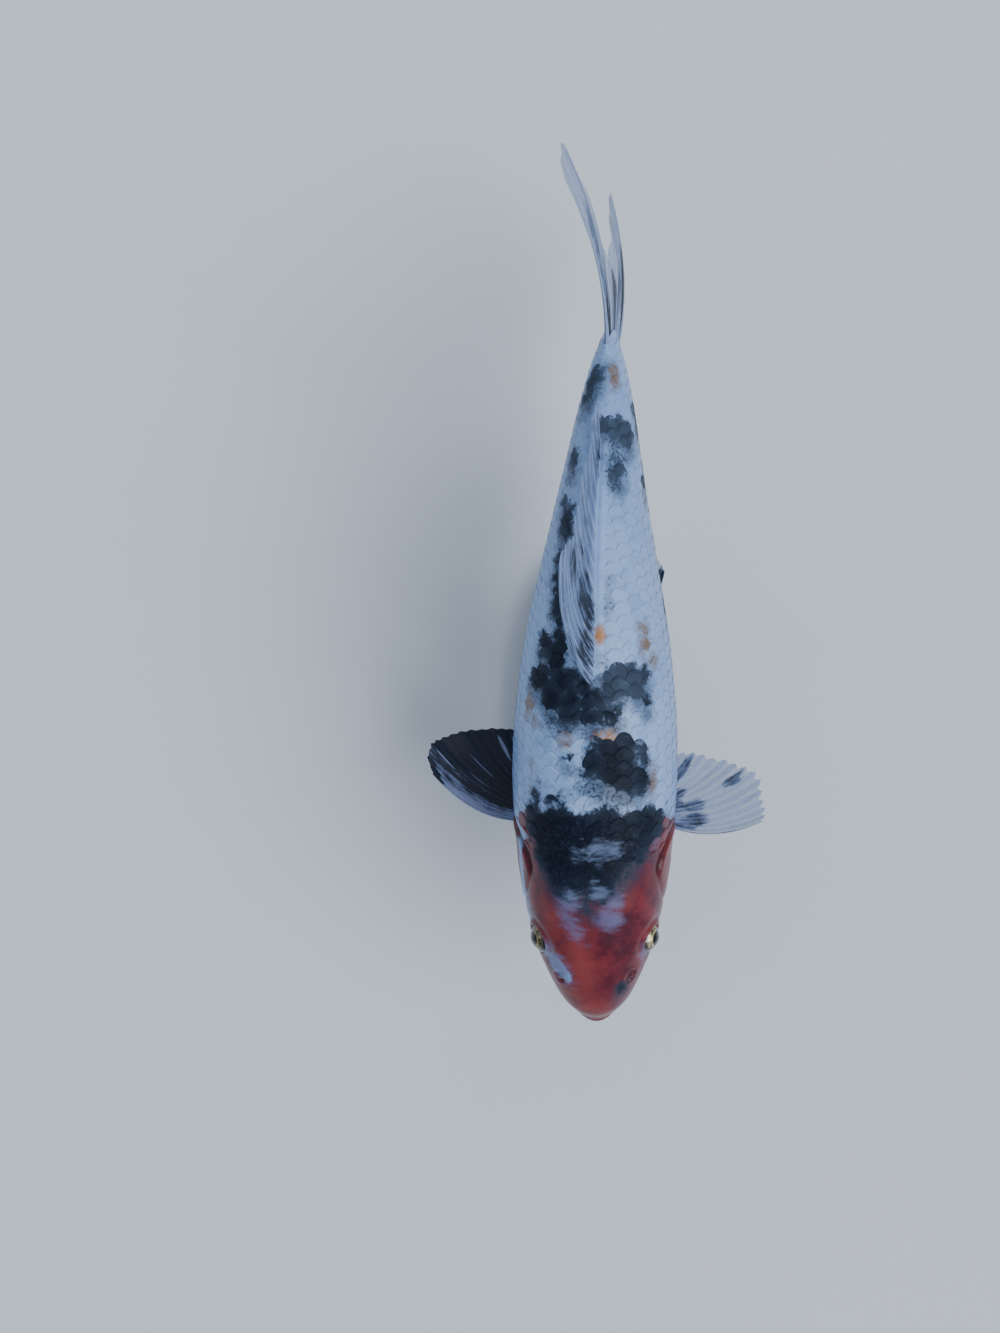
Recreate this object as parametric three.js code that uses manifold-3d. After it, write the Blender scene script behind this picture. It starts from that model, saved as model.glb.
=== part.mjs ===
// A koi carp of 350 mm overall, cruising with its fins spread, as a still life-size display model on a plain stand.
// Millimetres, +Z up. The head points to -Y, the fish's left side is +X, and the origin is the centre of the
// stand's underside. The body is one loft, parted by thin cuts; fins are tapered plates grown from it.
import * as THREE from "three";
import { mergeVertices } from "three/addons/utils/BufferGeometryUtils.js";
import Module from "manifold-3d";

const wasm = await Module();
wasm.setup();

// Driving dimensions.
const standardLength = 270; // snout to the root of the tail fin
const axisHeight = 96; // the body's axis above the floor
const snoutY = -118; // puts the weight of the fish over the middle of the base
const gap = 0.3; // left between pieces that meet
const gillCoverRise = 0.8; // how far the gill covers stand proud of the body
const gillCoverDepth = 4;
const eyeRadius = 7;

// Pose: a slight swing of head and tail to the fish's left, and a bank to its right that grows towards the tail.
const neck = 60;
const headSwing = 1.2;
const tailSwing = 6.5;
const headBank = THREE.MathUtils.degToRad(3.5);
const tailBank = THREE.MathUtils.degToRad(10);

// Body stations from the inside of the mouth to the tail root. Each ring has a front-to-back place at its top, side
// and bottom, a half width, a height at its top, widest point and bottom, and how square it is above and below.
const stations = [
  { at: [6.5, 6.5, 6.5], half: 4.6, z: [-7.2, -8.4, -8.0], square: [2, 2] }, // throat behind the closed lips
  { at: [2.6, 5.2, 3.6], half: 7.0, z: [-6.6, -9.8, -7.3], square: [2, 2] }, // where the lips meet
  { at: [0.0, 5.0, 1.6], half: 8.6, z: [-4.4, -9.6, -9.8], square: [2, 2] }, // crest of the lips
  { at: [1.7, 6.8, 3.8], half: 9.6, z: [-1.9, -8.8, -12.2], square: [2, 2] }, // groove round the lips
  { at: [2.9, 8.2, 5.8], half: 11.4, z: [0.9, -7.4, -14.2], square: [2.1, 2.1] }, // rim of the snout
  { at: [6.6, 11.2, 10.2], half: 14.0, z: [6.4, -5.8, -17.2], square: [2.2, 2.2] },
  { at: [17, 18, 18], half: 17.5, z: [13.6, -4.4, -21.2], square: [2.3, 2.2] }, // nostrils
  { at: [27, 27, 27], half: 21.4, z: [18.6, -3.6, -24.6], square: [2.3, 2.2] },
  { at: [36, 36, 36], half: 24.5, z: [22.2, -3, -27.3], square: [2.3, 2.2] }, // eyes
  { at: [50, 50, 50], half: 27.6, z: [27.8, -2, -30.8], square: [2.25, 2.2] },
  { at: [68, 68, 68], half: 30.3, z: [33.4, -1, -34.4], square: [2.15, 2.3] }, // nape
  { at: [86, 86, 86], half: 32.2, z: [37.2, 0, -37], square: [2.1, 2.35] }, // hind edge of the gill covers
  { at: [106, 106, 106], half: 32.7, z: [39.8, 0.5, -38.8], square: [2.05, 2.35] },
  { at: [128, 128, 128], half: 31.6, z: [40.6, 1, -39.2], square: [2, 2.3] }, // start of the dorsal fin
  { at: [152, 152, 152], half: 28.8, z: [38.6, 1, -37.6], square: [2, 2.2] }, // pelvic fins
  { at: [176, 176, 176], half: 24.4, z: [34, 1, -33.8], square: [1.95, 2.1] },
  { at: [200, 200, 200], half: 19.6, z: [27.8, 0.5, -27.8], square: [1.95, 2] }, // vent
  { at: [222, 222, 222], half: 15.4, z: [21.6, 0, -21.8], square: [1.95, 2] },
  { at: [242, 242, 242], half: 11.6, z: [17.4, 0, -17.4], square: [2, 2] }, // tail stalk
  { at: [258, 258, 258], half: 7.8, z: [15.9, 0, -16.1], square: [2, 2] },
  { at: [264, 268, 264], half: 4.5, z: [16.4, 0, -16.8], square: [2, 2] },
  { at: [266, 274, 266], half: 2.2, z: [17.2, 0, -17.8], square: [2, 2] }, // root of the tail fin
];

const numbersOf = (k) => [...k.at, k.half, ...k.z, ...k.square];
const stationNumbers = stations.map(numbersOf);

// Catmull-Rom value of rows of numbers at t, where whole t is a row.
function smoothRow(rows, t) {
  const i = Math.min(Math.floor(t), rows.length - 2);
  const f = t - i;
  const row = (j) => rows[Math.max(0, Math.min(rows.length - 1, j))];
  return rows[i].map((p1, c) => {
    const [p0, p2, p3] = [row(i - 1)[c], row(i + 1)[c], row(i + 2)[c]];
    const bend = 2 * p0 - 5 * p1 + 4 * p2 - p3 + (3 * p1 - p0 - 3 * p2 + p3) * f;
    return p1 + 0.5 * f * (p2 - p0 + f * bend);
  });
}

// The ring position t whose widest point is at distance s from the snout.
function ringPosition(s) {
  let low = 4;
  let high = stations.length - 1;
  for (let n = 0; n < 40; n++) {
    const middle = (low + high) / 2;
    if (smoothRow(stationNumbers, middle)[1] < s) low = middle;
    else high = middle;
  }
  return low;
}

// The body's frame at distance s from the snout: centre, left, back and up.
function frameAt(s) {
  const reach = s > neck ? (s - neck) / (standardLength - neck) : (neck - s) / neck;
  const swing = s > neck ? tailSwing : headSwing;
  const slope = ((s > neck ? 1 : -1) * 2 * swing * reach) / (s > neck ? standardLength - neck : neck);
  const back = new THREE.Vector3(slope, 1, 0).normalize();
  const level = new THREE.Vector3(back.y, -back.x, 0);
  const bank = headBank + (tailBank - headBank) * (s / standardLength) ** 2;
  const upright = new THREE.Vector3(0, 0, 1);
  const up = upright.clone().multiplyScalar(Math.cos(bank)).addScaledVector(level, -Math.sin(bank));
  const left = level.clone().multiplyScalar(Math.cos(bank)).addScaledVector(upright, Math.sin(bank));
  return { centre: new THREE.Vector3(swing * reach ** 2, snoutY + s, axisHeight), left, back, up };
}

// A point given by its distance from the snout, its place to the left and its height over the axis.
function posed(s, across, height) {
  const f = frameAt(s);
  return f.centre.clone().addScaledVector(f.left, across).addScaledVector(f.up, height);
}

const signedPower = (x, p) => Math.sign(x) * Math.abs(x) ** p;

// The point of the skin on ring t at an angle, 0 at the fish's left and 90 degrees at its back, grown outwards.
function skinPoint(t, angle, grow = 0) {
  const [atTop, atSide, atFoot, half, top, side, foot, squareTop, squareFoot] = smoothRow(stationNumbers, t);
  const [c, s] = [Math.cos(angle), Math.sin(angle)];
  const square = s > 0 ? squareTop : squareFoot;
  const rise = s > 0 ? top - side + grow : side - foot + grow;
  const overhang = grow * Math.max(0, t - stations.length + 2);
  const along = atSide * c * c + (s > 0 ? atTop : atFoot) * s * s + overhang;
  return posed(along, (half + grow) * signedPower(c, 2 / square), side + rise * signedPower(s, 2 / square));
}

const middleOf = (ring) => ring.reduce((sum, p) => sum.add(p), new THREE.Vector3()).divideScalar(ring.length);

// Closed mesh through rings of points, with a fan to a hub at each end.
function loft(rings, lastHub = middleOf(rings.at(-1))) {
  const around = rings[0].length;
  const points = [...rings.flat(), middleOf(rings[0]), lastHub];
  const [firstHub, last] = [points.length - 2, (rings.length - 1) * around];
  const faces = [];
  for (let j = 0; j < around; j++) {
    const k = (j + 1) % around;
    for (let i = 0; i < last; i += around) {
      faces.push(i + j, i + k, i + k + around, i + j, i + k + around, i + j + around);
    }
    faces.push(firstHub, k, j, firstHub + 1, last + j, last + k);
  }
  return new THREE.BufferGeometry().setFromPoints(points).setIndex(faces);
}

// Solids for joining and cutting.
function solid(geometry) {
  const bare = geometry.clone();
  bare.deleteAttribute("normal");
  bare.deleteAttribute("uv");
  const merged = mergeVertices(bare, 1e-4);
  const made = new wasm.Manifold(
    new wasm.Mesh({
      numProp: 3,
      vertProperties: new Float32Array(merged.attributes.position.array),
      triVerts: new Uint32Array(merged.index.array),
    }),
  );
  return made.volume() < 0 ? solid(reversed(merged)) : made;
}

function reversed(geometry) {
  const index = [...geometry.index.array];
  for (let i = 0; i < index.length; i += 3) [index[i + 1], index[i + 2]] = [index[i + 2], index[i + 1]];
  return geometry.clone().setIndex(index);
}

function geometryOf(piece) {
  const mesh = piece.getMesh();
  const geometry = new THREE.BufferGeometry();
  geometry.setAttribute("position", new THREE.BufferAttribute(new Float32Array(mesh.vertProperties), 3));
  geometry.setIndex(new THREE.BufferAttribute(new Uint32Array(mesh.triVerts), 1));
  geometry.computeVertexNormals();
  return geometry;
}

// The largest body of a cut solid, without the crumbs.
function mainBody(piece) {
  return piece.decompose().reduce((best, body) => (body.volume() > best.volume() ? body : best));
}

const block = (x0, x1, y0, y1, z0, z1) =>
  solid(new THREE.BoxGeometry(x1 - x0, y1 - y0, z1 - z0).translate((x0 + x1) / 2, (y0 + y1) / 2, (z0 + z1) / 2));

// The space between two distances from the snout.
const slice = (from, to) => block(-200, 200, snoutY + from, snoutY + to, -100, 400);

// --- Materials, one for each finish of the fish and its stand.
const finish = (color, roughness, metalness = 0) => new THREE.MeshStandardMaterial({ color, roughness, metalness });
const finishes = {
  redSkin: finish(0xa8301c, 0.35),
  whiteSkin: finish(0xd8dde2, 0.35),
  finWhite: finish(0xc4ced8, 0.4),
  finBlack: finish(0x20222a, 0.4),
  eye: finish(0x0c0c0e, 0.08),
  barbel: finish(0xc98a70, 0.4),
  standPlate: finish(0x24262a, 0.5),
  standRod: finish(0xb9bcc0, 0.3, 1),
};

const fish = new THREE.Group();

function addPiece(name, geometry, material) {
  const mesh = new THREE.Mesh(geometry, material);
  mesh.name = name;
  fish.add(mesh);
}

// --- The body, lofted through rings that are close at the mouth and head and wider apart along the trunk.
const ringSides = 28;
const closeRings = 12; // up to this station the rings are twice as close

function bodySolid(grow, first = 0) {
  const rings = [];
  for (let t = first; t < stations.length; t += t < closeRings ? 0.5 : 1) rings.push(t);
  const angles = Array.from({ length: ringSides }, (_, j) => (2 * Math.PI * j) / ringSides);
  const tailEnd = stations.at(-1).at[1] + grow;
  return solid(loft(rings.map((ring) => angles.map((angle) => skinPoint(ring, angle, grow))), posed(tailEnd, 0, 0)));
}

const body = bodySolid(0);
const clearance = bodySolid(gap, 2); // what fins, barbels and rods stop at
const proud = bodySolid(gillCoverRise, 4);
const core = bodySolid(-gillCoverDepth, 5);
const coreClear = bodySolid(-gillCoverDepth - gap, 5);

// --- Gill covers: curved plates in the outline of the opercle, standing a little proud of the head and shoulder.
const gillCoverOutline = [
  [50, 2],
  [55, 13],
  [65, 18.5],
  [76, 12],
  [82, -3],
  [79.5, -16],
  [70, -26.5],
  [59, -30.5],
  [52, -22],
  [49.5, -10],
];
const gillCoverSegments = 20;

function gillCoverPrism(side, grow) {
  const middle = [66, -6];
  const moved = gillCoverOutline.map(([s, z]) => {
    const out = new THREE.Vector2(s - middle[0], z - middle[1]);
    return out.setLength(out.length() + grow).add(new THREE.Vector2(...middle));
  });
  const curve = new THREE.CatmullRomCurve3(moved.map((p) => new THREE.Vector3(p.x, p.y, 0)), true);
  const outline = curve.getPoints(gillCoverSegments).slice(0, -1);
  const from = 10;
  const to = 44;
  return solid(loft([from, to].map((across) => outline.map((p) => posed(p.x, side * across, p.y)))));
}

// --- Eyes: glossy balls that look outwards, a little up and a little forwards.
const eyePlace = { s: 36.8, across: 17.9, height: 7.6 };
const eyeCentre = (side) => posed(eyePlace.s, side * eyePlace.across, eyePlace.height);

function eyeBall(side, grow) {
  const ball = new THREE.SphereGeometry(eyeRadius + grow, 16, 8);
  return ball.rotateZ(Math.PI / 2).translate(...eyeCentre(side).toArray());
}

// --- The body's nodes, each a length of the loft.
const gillOpenings = [1, -1].map((side) => gillCoverPrism(side, gap).subtract(coreClear));
const sockets = [1, -1].map((side) => solid(eyeBall(side, gap)));
const openings = [...gillOpenings, ...sockets];
const lipEnd = 6.5;
const lengths = [
  { name: "head", from: lipEnd, to: 67, material: finishes.redSkin },
  { name: "trunk_front", from: 67, to: 128, material: finishes.whiteSkin },
  { name: "trunk_middle", from: 128, to: 182, material: finishes.whiteSkin },
  { name: "trunk_rear", from: 182, to: 232, material: finishes.whiteSkin },
  { name: "tail_stalk", from: 232, to: standardLength + 10, material: finishes.whiteSkin },
];
for (const { name, from, to, material } of lengths) {
  const cut = openings.reduce((rest, opening) => rest.subtract(opening), body.intersect(slice(from, to - gap)));
  addPiece(name, geometryOf(mainBody(cut)), material);
}

// --- Lips: the front of the loft, parted along the mouth, whose corners droop.
const mouthLine = (across) => -6.95 - 2.85 * (across / 7) ** 2;
const mouthSteps = 6;

function underMouth(rise) {
  const line = Array.from({ length: mouthSteps + 1 }, (_, i) => (24 * i) / mouthSteps - 12);
  const outline = [...line.map((across) => [across, mouthLine(across) + rise]), [12, -60], [-12, -60]];
  return solid(loft([-20, lipEnd + 10].map((s) => outline.map(([across, height]) => posed(s, across, height)))));
}

const lips = body.intersect(slice(-10, lipEnd - gap));
addPiece("lip_upper", geometryOf(mainBody(lips.subtract(underMouth(gap / 2)))), finishes.redSkin);
addPiece("jaw_lower", geometryOf(mainBody(lips.intersect(underMouth(-gap / 2)))), finishes.redSkin);

for (const [side, name] of [
  [1, "left"],
  [-1, "right"],
]) {
  const cover = gillCoverPrism(side, 0).intersect(proud).subtract(core);
  addPiece(`gill_cover_${name}`, geometryOf(mainBody(cover)), finishes.redSkin);
  addPiece(`eye_${name}`, eyeBall(side, 0), finishes.eye);
}

// --- Fins. A fin is a row of key rays, each with its root, the direction it leaves in, the direction it ends in and
// its length. Directions are outwards to the left, backwards and upwards in the body's own frame.
const toKey = (ray) => [...ray.root, ...ray.leaves, ...ray.ends, ray.length];

function finPoint(keys, u, v) {
  const [s, across, height, l0, b0, u0, l1, b1, u1, length] = smoothRow(keys, u * (keys.length - 1));
  const f = frameAt(s);
  const along = (start, end) => length * (start * v + ((end - start) * v * v) / 2);
  return posed(s, across, height)
    .addScaledVector(f.left, along(l0, l1))
    .addScaledVector(f.back, along(b0, b1))
    .addScaledVector(f.up, along(u0, u1));
}

function finNormal(keys, u, v) {
  const step = 1e-3;
  const inwards = (x) => Math.min(Math.max(x, step), 1 - step);
  const [a, b] = [inwards(u), inwards(v)];
  const acrossRays = finPoint(keys, a + step, b).sub(finPoint(keys, a - step, b));
  const alongRay = finPoint(keys, a, b + step).sub(finPoint(keys, a, b - step));
  return acrossRays.cross(alongRay).normalize();
}

// A closed plate of the fin, between two shares of its width, thickest at the root.
function finSolid({ rays, thick, steps, from = 0, to = 1 }) {
  const keys = rays.map(toKey);
  const [rootThick, edgeThick] = thick;
  const [across, along] = steps;
  const sheet = (side) =>
    Array.from({ length: across + 1 }, (_, i) =>
      Array.from({ length: along + 1 }, (_, j) => {
        const [u, v] = [from + ((to - from) * i) / across, j / along];
        const half = (rootThick + (edgeThick - rootThick) * Math.sqrt(v)) / 2;
        return finPoint(keys, u, v).addScaledVector(finNormal(keys, u, v), side * half);
      }),
    );
  const [front, back] = [sheet(1), sheet(-1)];
  // Each ring runs out along one face of a ray and home along the other.
  const rings = front.map((row, i) => [...row, ...[...back[i]].reverse()]);
  return solid(stripLoft(rings));
}

// Closed mesh through flat rings whose two halves face each other, so that the ends are strips and not fans.
function stripLoft(rings) {
  const around = rings[0].length;
  const points = rings.flat();
  const faces = [];
  for (let i = 0; i + 1 < rings.length; i++) {
    for (let j = 0; j < around; j++) {
      const [a, b] = [i * around + j, i * around + ((j + 1) % around)];
      faces.push(a, b, b + around, a, b + around, a + around);
    }
  }
  const last = (rings.length - 1) * around;
  for (let j = 0; j < around / 2 - 1; j++) {
    const opposite = around - 1 - j;
    faces.push(j, opposite, opposite - 1, j, opposite - 1, j + 1);
    faces.push(last + j, last + opposite - 1, last + opposite, last + j, last + j + 1, last + opposite - 1);
  }
  return new THREE.BufferGeometry().setFromPoints(points).setIndex(faces);
}

function addFin(name, fin, material) {
  addPiece(name, geometryOf(mainBody(finSolid(fin).subtract(clearance))), material);
}

// The dorsal fin is half folded and lies over to the fish's right.
addFin(
  "dorsal_fin",
  {
    thick: [2.2, 0.8],
    steps: [16, 6],
    rays: [
      { root: [133, 0, 38], leaves: [-0.46, 0.44, 0.7], ends: [-0.2, 0.9, 0.3], length: 28 },
      { root: [135, 0, 38], leaves: [-0.48, 0.52, 0.66], ends: [0.08, 1, 0.02], length: 61 },
      { root: [143, 0, 37.5], leaves: [-0.42, 0.6, 0.6], ends: [0.06, 0.98, 0.02], length: 55 },
      { root: [153, 0, 36.5], leaves: [-0.38, 0.66, 0.54], ends: [0.04, 0.98, 0], length: 46 },
      { root: [168, 0, 33.5], leaves: [-0.34, 0.7, 0.5], ends: [-0.04, 0.98, 0], length: 38 },
      { root: [186, 0, 29], leaves: [-0.28, 0.76, 0.46], ends: [-0.06, 0.98, 0], length: 33 },
      { root: [205, 0, 23.5], leaves: [-0.2, 0.82, 0.42], ends: [-0.06, 0.99, 0], length: 28 },
      { root: [222, 0, 19], leaves: [-0.12, 0.88, 0.36], ends: [-0.04, 1, 0], length: 24 },
    ],
  },
  finishes.finWhite,
);

// Each pectoral fin is spread flat: the right one swept back, the left one held forwards.
addFin(
  "pectoral_fin_right",
  {
    thick: [2.6, 0.8],
    steps: [10, 7],
    rays: [
      { root: [78, -24, -23], leaves: [-1, -0.2, -0.1], ends: [-0.86, 1, 0.1], length: 47 },
      { root: [80, -24, -24], leaves: [-0.98, 0.06, -0.12], ends: [-0.76, 0.92, 0.1], length: 51 },
      { root: [82, -23.6, -25], leaves: [-0.92, 0.3, -0.16], ends: [-0.6, 0.82, 0.06], length: 51 },
      { root: [84, -23, -26], leaves: [-0.8, 0.52, -0.2], ends: [-0.46, 0.8, 0.02], length: 44.5 },
      { root: [86, -22.4, -26.8], leaves: [-0.62, 0.68, -0.24], ends: [-0.28, 0.88, -0.02], length: 36 },
      { root: [87.5, -21.6, -27.5], leaves: [-0.42, 0.84, -0.28], ends: [-0.12, 0.96, -0.08], length: 28 },
    ],
  },
  finishes.finBlack,
);
addFin(
  "pectoral_fin_left",
  {
    thick: [2.6, 0.8],
    steps: [10, 7],
    rays: [
      { root: [78.5, 24, -23], leaves: [0.92, -0.48, -0.12], ends: [0.95, 0.5, 0.08], length: 50 },
      { root: [80, 24, -24], leaves: [0.96, -0.3, -0.14], ends: [0.92, 0.62, 0.08], length: 51 },
      { root: [82, 23.6, -25], leaves: [0.98, -0.04, -0.18], ends: [0.78, 0.72, 0.04], length: 49 },
      { root: [84, 23, -26], leaves: [0.9, 0.22, -0.22], ends: [0.66, 0.74, 0], length: 41 },
      { root: [86, 22.4, -26.8], leaves: [0.74, 0.46, -0.26], ends: [0.46, 0.82, -0.04], length: 31.5 },
      { root: [87.5, 21.6, -27.5], leaves: [0.54, 0.7, -0.3], ends: [0.28, 0.9, -0.1], length: 24 },
    ],
  },
  finishes.finWhite,
);

// The pelvic fins trail under the belly, the left one held further out.
for (const [side, name, spread] of [
  [1, "left", 0.03],
  [-1, "right", 0],
]) {
  const rays = [
    { root: [140, 12, -33], leaves: [0.36 + spread, 0.82, -0.42], ends: [0.24 + spread, 0.98, -0.1], length: 45 },
    { root: [142, 11.5, -34], leaves: [0.32 + spread, 0.82, -0.44], ends: [0.2 + spread, 1, -0.12], length: 50 },
    { root: [144.5, 10.5, -34.5], leaves: [0.26 + spread, 0.84, -0.46], ends: [0.14 + spread, 1, -0.16], length: 46 },
    { root: [147, 9, -35], leaves: [0.16 + spread, 0.86, -0.48], ends: [0.06 + spread, 0.98, -0.22], length: 38 },
    { root: [149, 8, -35], leaves: [0.06 + spread, 0.9, -0.46], ends: [0, 0.98, -0.24], length: 28 },
  ];
  const mirrored = rays.map((ray) => ({
    root: [ray.root[0], side * ray.root[1], ray.root[2]],
    leaves: [side * ray.leaves[0], ray.leaves[1], ray.leaves[2]],
    ends: [side * ray.ends[0], ray.ends[1], ray.ends[2]],
    length: ray.length,
  }));
  addFin(`pelvic_fin_${name}`, { thick: [2.2, 0.8], steps: [8, 6], rays: mirrored }, finishes.finWhite);
}

addFin(
  "anal_fin",
  {
    thick: [2.2, 0.8],
    steps: [10, 6],
    rays: [
      { root: [199, 0, -25], leaves: [0, 0.5, -0.86], ends: [-0.02, 0.8, -0.6], length: 32 },
      { root: [201, 0, -25], leaves: [0, 0.58, -0.8], ends: [-0.05, 0.86, -0.5], length: 43 },
      { root: [205, 0, -24], leaves: [0, 0.64, -0.76], ends: [-0.08, 0.88, -0.46], length: 41 },
      { root: [211, 0, -22], leaves: [0, 0.7, -0.7], ends: [-0.06, 0.9, -0.42], length: 31 },
      { root: [217, 0, -20.5], leaves: [0, 0.78, -0.62], ends: [-0.04, 0.94, -0.34], length: 23 },
      { root: [222, 0, -19], leaves: [0, 0.84, -0.54], ends: [-0.02, 0.96, -0.28], length: 17 },
    ],
  },
  finishes.finWhite,
);

// The tail fin is forked. Its upper lobe trails off to the fish's right.
const tailRoot = 262;
const tailRays = [
  { height: 16, angle: 30, length: 68, leaves: 0.03, ends: -0.5 },
  { height: 13.5, angle: 26, length: 82, leaves: 0.03, ends: -0.48 },
  { height: 10, angle: 19, length: 71, leaves: 0.03, ends: -0.42 },
  { height: 5.5, angle: 10, length: 53, leaves: 0.03, ends: -0.3 },
  { height: 0, angle: 0, length: 42, leaves: 0.04, ends: -0.2 },
  { height: -5.5, angle: -9, length: 55, leaves: 0.07, ends: -0.2 },
  { height: -10, angle: -16, length: 77, leaves: 0.1, ends: -0.27 },
  { height: -14, angle: -22, length: 96, leaves: 0.13, ends: -0.34 },
  { height: -16.6, angle: -26, length: 80, leaves: 0.14, ends: -0.34 },
].map(({ height, angle, length, leaves, ends }) => {
  const tilt = THREE.MathUtils.degToRad(angle);
  const [along, rise] = [Math.cos(tilt), Math.sin(tilt)];
  return {
    root: [tailRoot, 0, height],
    leaves: [leaves, along, rise],
    ends: [ends, along * (1 - 0.2 * Math.abs(ends)), rise],
    length,
  };
});
const tailFin = { thick: [3, 0.8], steps: [9, 7], rays: tailRays };
const tailParting = 0.004; // share of the fin's width left between its lobes, which part at the fork
addFin("tail_fin_upper", { ...tailFin, to: 0.5 - tailParting }, finishes.finWhite);
addFin("tail_fin_lower", { ...tailFin, from: 0.5 + tailParting }, finishes.finWhite);

// --- Barbels: two short ones on the upper lip and two longer ones at the corners of the mouth. Each grows from a
// ring and angle of the skin and runs back, out and down.
const barbels = [
  { name: "barbel_lip", ring: 3.2, angle: 36, drop: [0.6, 3.2, -1.6], droop: [1.6, 0.6, -1.8], radius: 0.75 },
  { name: "barbel_corner", ring: 3.5, angle: -10, drop: [1.6, 3.6, -4.6], droop: [4.2, 1, -4.4], radius: 1.05 },
];
const barbelSteps = 4;
const barbelSides = 6;

function barbelSolid({ ring, angle, drop, droop, radius }, side) {
  const turn = THREE.MathUtils.degToRad(side > 0 ? angle : 180 - angle);
  const root = skinPoint(ring, turn, -0.8);
  const { left, back, up } = frameAt(lipEnd);
  const place = (v) => {
    const [b, l, u] = drop.map((x, i) => x * v + droop[i] * v * v);
    return root.clone().addScaledVector(back, b).addScaledVector(left, side * l).addScaledVector(up, u);
  };
  const rings = Array.from({ length: barbelSteps + 1 }, (_, i) => {
    const v = i / barbelSteps;
    const centre = place(v);
    const run = place(v + 0.01).sub(centre).normalize();
    const wide = new THREE.Vector3(0, 0, 1).cross(run).normalize();
    const tall = run.clone().cross(wide);
    const size = radius * (1.15 - 0.6 * v);
    return Array.from({ length: barbelSides }, (_, j) => {
      const angle = (2 * Math.PI * j) / barbelSides;
      const out = wide.clone().multiplyScalar(Math.cos(angle) * size);
      return centre.clone().add(out.addScaledVector(tall, Math.sin(angle) * size));
    });
  });
  return solid(loft(rings));
}

for (const [side, name] of [
  [1, "left"],
  [-1, "right"],
]) {
  for (const barbel of barbels) {
    const cut = barbelSolid(barbel, side).subtract(clearance);
    addPiece(`${barbel.name}_${name}`, geometryOf(mainBody(cut)), finishes.barbel);
  }
}

// --- The stand: an oval plate with a chamfered edge, and two rods that rise to the belly.
const plate = { length: 150, width: 56, thick: 9, chamfer: 1.5, sides: 40 };
const rod = { radius: 2.6, sides: 16, places: [-26, 26] };

function plateRing(inset, height) {
  return Array.from({ length: plate.sides }, (_, i) => {
    const angle = (2 * Math.PI * i) / plate.sides;
    const [half, reach] = [plate.width / 2 - inset, plate.length / 2 - inset];
    return new THREE.Vector3(half * Math.cos(angle), reach * Math.sin(angle), height);
  });
}

const plateRings = [plateRing(0, 0), plateRing(0, plate.thick - plate.chamfer), plateRing(plate.chamfer, plate.thick)];
addPiece("stand_base", geometryOf(solid(loft(plateRings))), finishes.standPlate);

rod.places.forEach((y, i) => {
  const height = axisHeight - plate.thick;
  const stick = new THREE.CylinderGeometry(rod.radius, rod.radius, height, rod.sides).rotateX(Math.PI / 2);
  const placed = solid(stick.translate(0, y, plate.thick + height / 2));
  addPiece(`stand_rod_${["front", "rear"][i]}`, geometryOf(mainBody(placed.subtract(clearance))), finishes.standRod);
});

export default fish;
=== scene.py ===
import math

import bpy
import numpy as np
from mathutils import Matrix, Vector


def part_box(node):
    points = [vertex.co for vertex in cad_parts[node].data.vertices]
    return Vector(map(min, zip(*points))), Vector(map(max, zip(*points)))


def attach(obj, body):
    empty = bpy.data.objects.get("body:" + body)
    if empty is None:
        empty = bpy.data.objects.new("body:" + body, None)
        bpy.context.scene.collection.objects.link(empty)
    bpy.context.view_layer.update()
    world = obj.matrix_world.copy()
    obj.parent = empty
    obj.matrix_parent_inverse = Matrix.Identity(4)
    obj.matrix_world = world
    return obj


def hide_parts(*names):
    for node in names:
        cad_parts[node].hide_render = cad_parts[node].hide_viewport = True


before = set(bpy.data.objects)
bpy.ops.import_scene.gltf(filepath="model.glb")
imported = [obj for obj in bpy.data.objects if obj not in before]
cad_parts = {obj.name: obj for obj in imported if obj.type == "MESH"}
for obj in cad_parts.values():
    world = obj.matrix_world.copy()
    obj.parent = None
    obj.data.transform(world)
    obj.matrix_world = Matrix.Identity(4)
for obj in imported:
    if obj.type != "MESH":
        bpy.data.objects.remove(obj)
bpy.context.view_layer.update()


# --- The room: a wide pale floor under the stand, and three broad soft lamps high over the fish. The
# strongest of them lights it from its left and a little from in front.
MM = 0.001


class Value:
    """A number or colour on a wire between shader nodes, so that shader maths reads as Python."""

    def __init__(self, finish, socket):
        self.finish, self.socket = finish, socket

    def maths(self, operation, *terms, clamp=False):
        return self.finish.node("ShaderNodeMath", {"operation": operation, "use_clamp": clamp}, terms)

    def __add__(self, other):
        return self.maths("ADD", self, other)

    __radd__ = __add__

    def __sub__(self, other):
        return self.maths("SUBTRACT", self, other)

    def __rsub__(self, other):
        return self.maths("SUBTRACT", other, self)

    def __mul__(self, other):
        return self.maths("MULTIPLY", self, other)

    __rmul__ = __mul__

    def wave(self):
        return self.maths("SINE", self)

    def held(self):
        """The value kept between 0 and 1."""
        return self.maths("ADD", self, 0.0, clamp=True)


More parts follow.
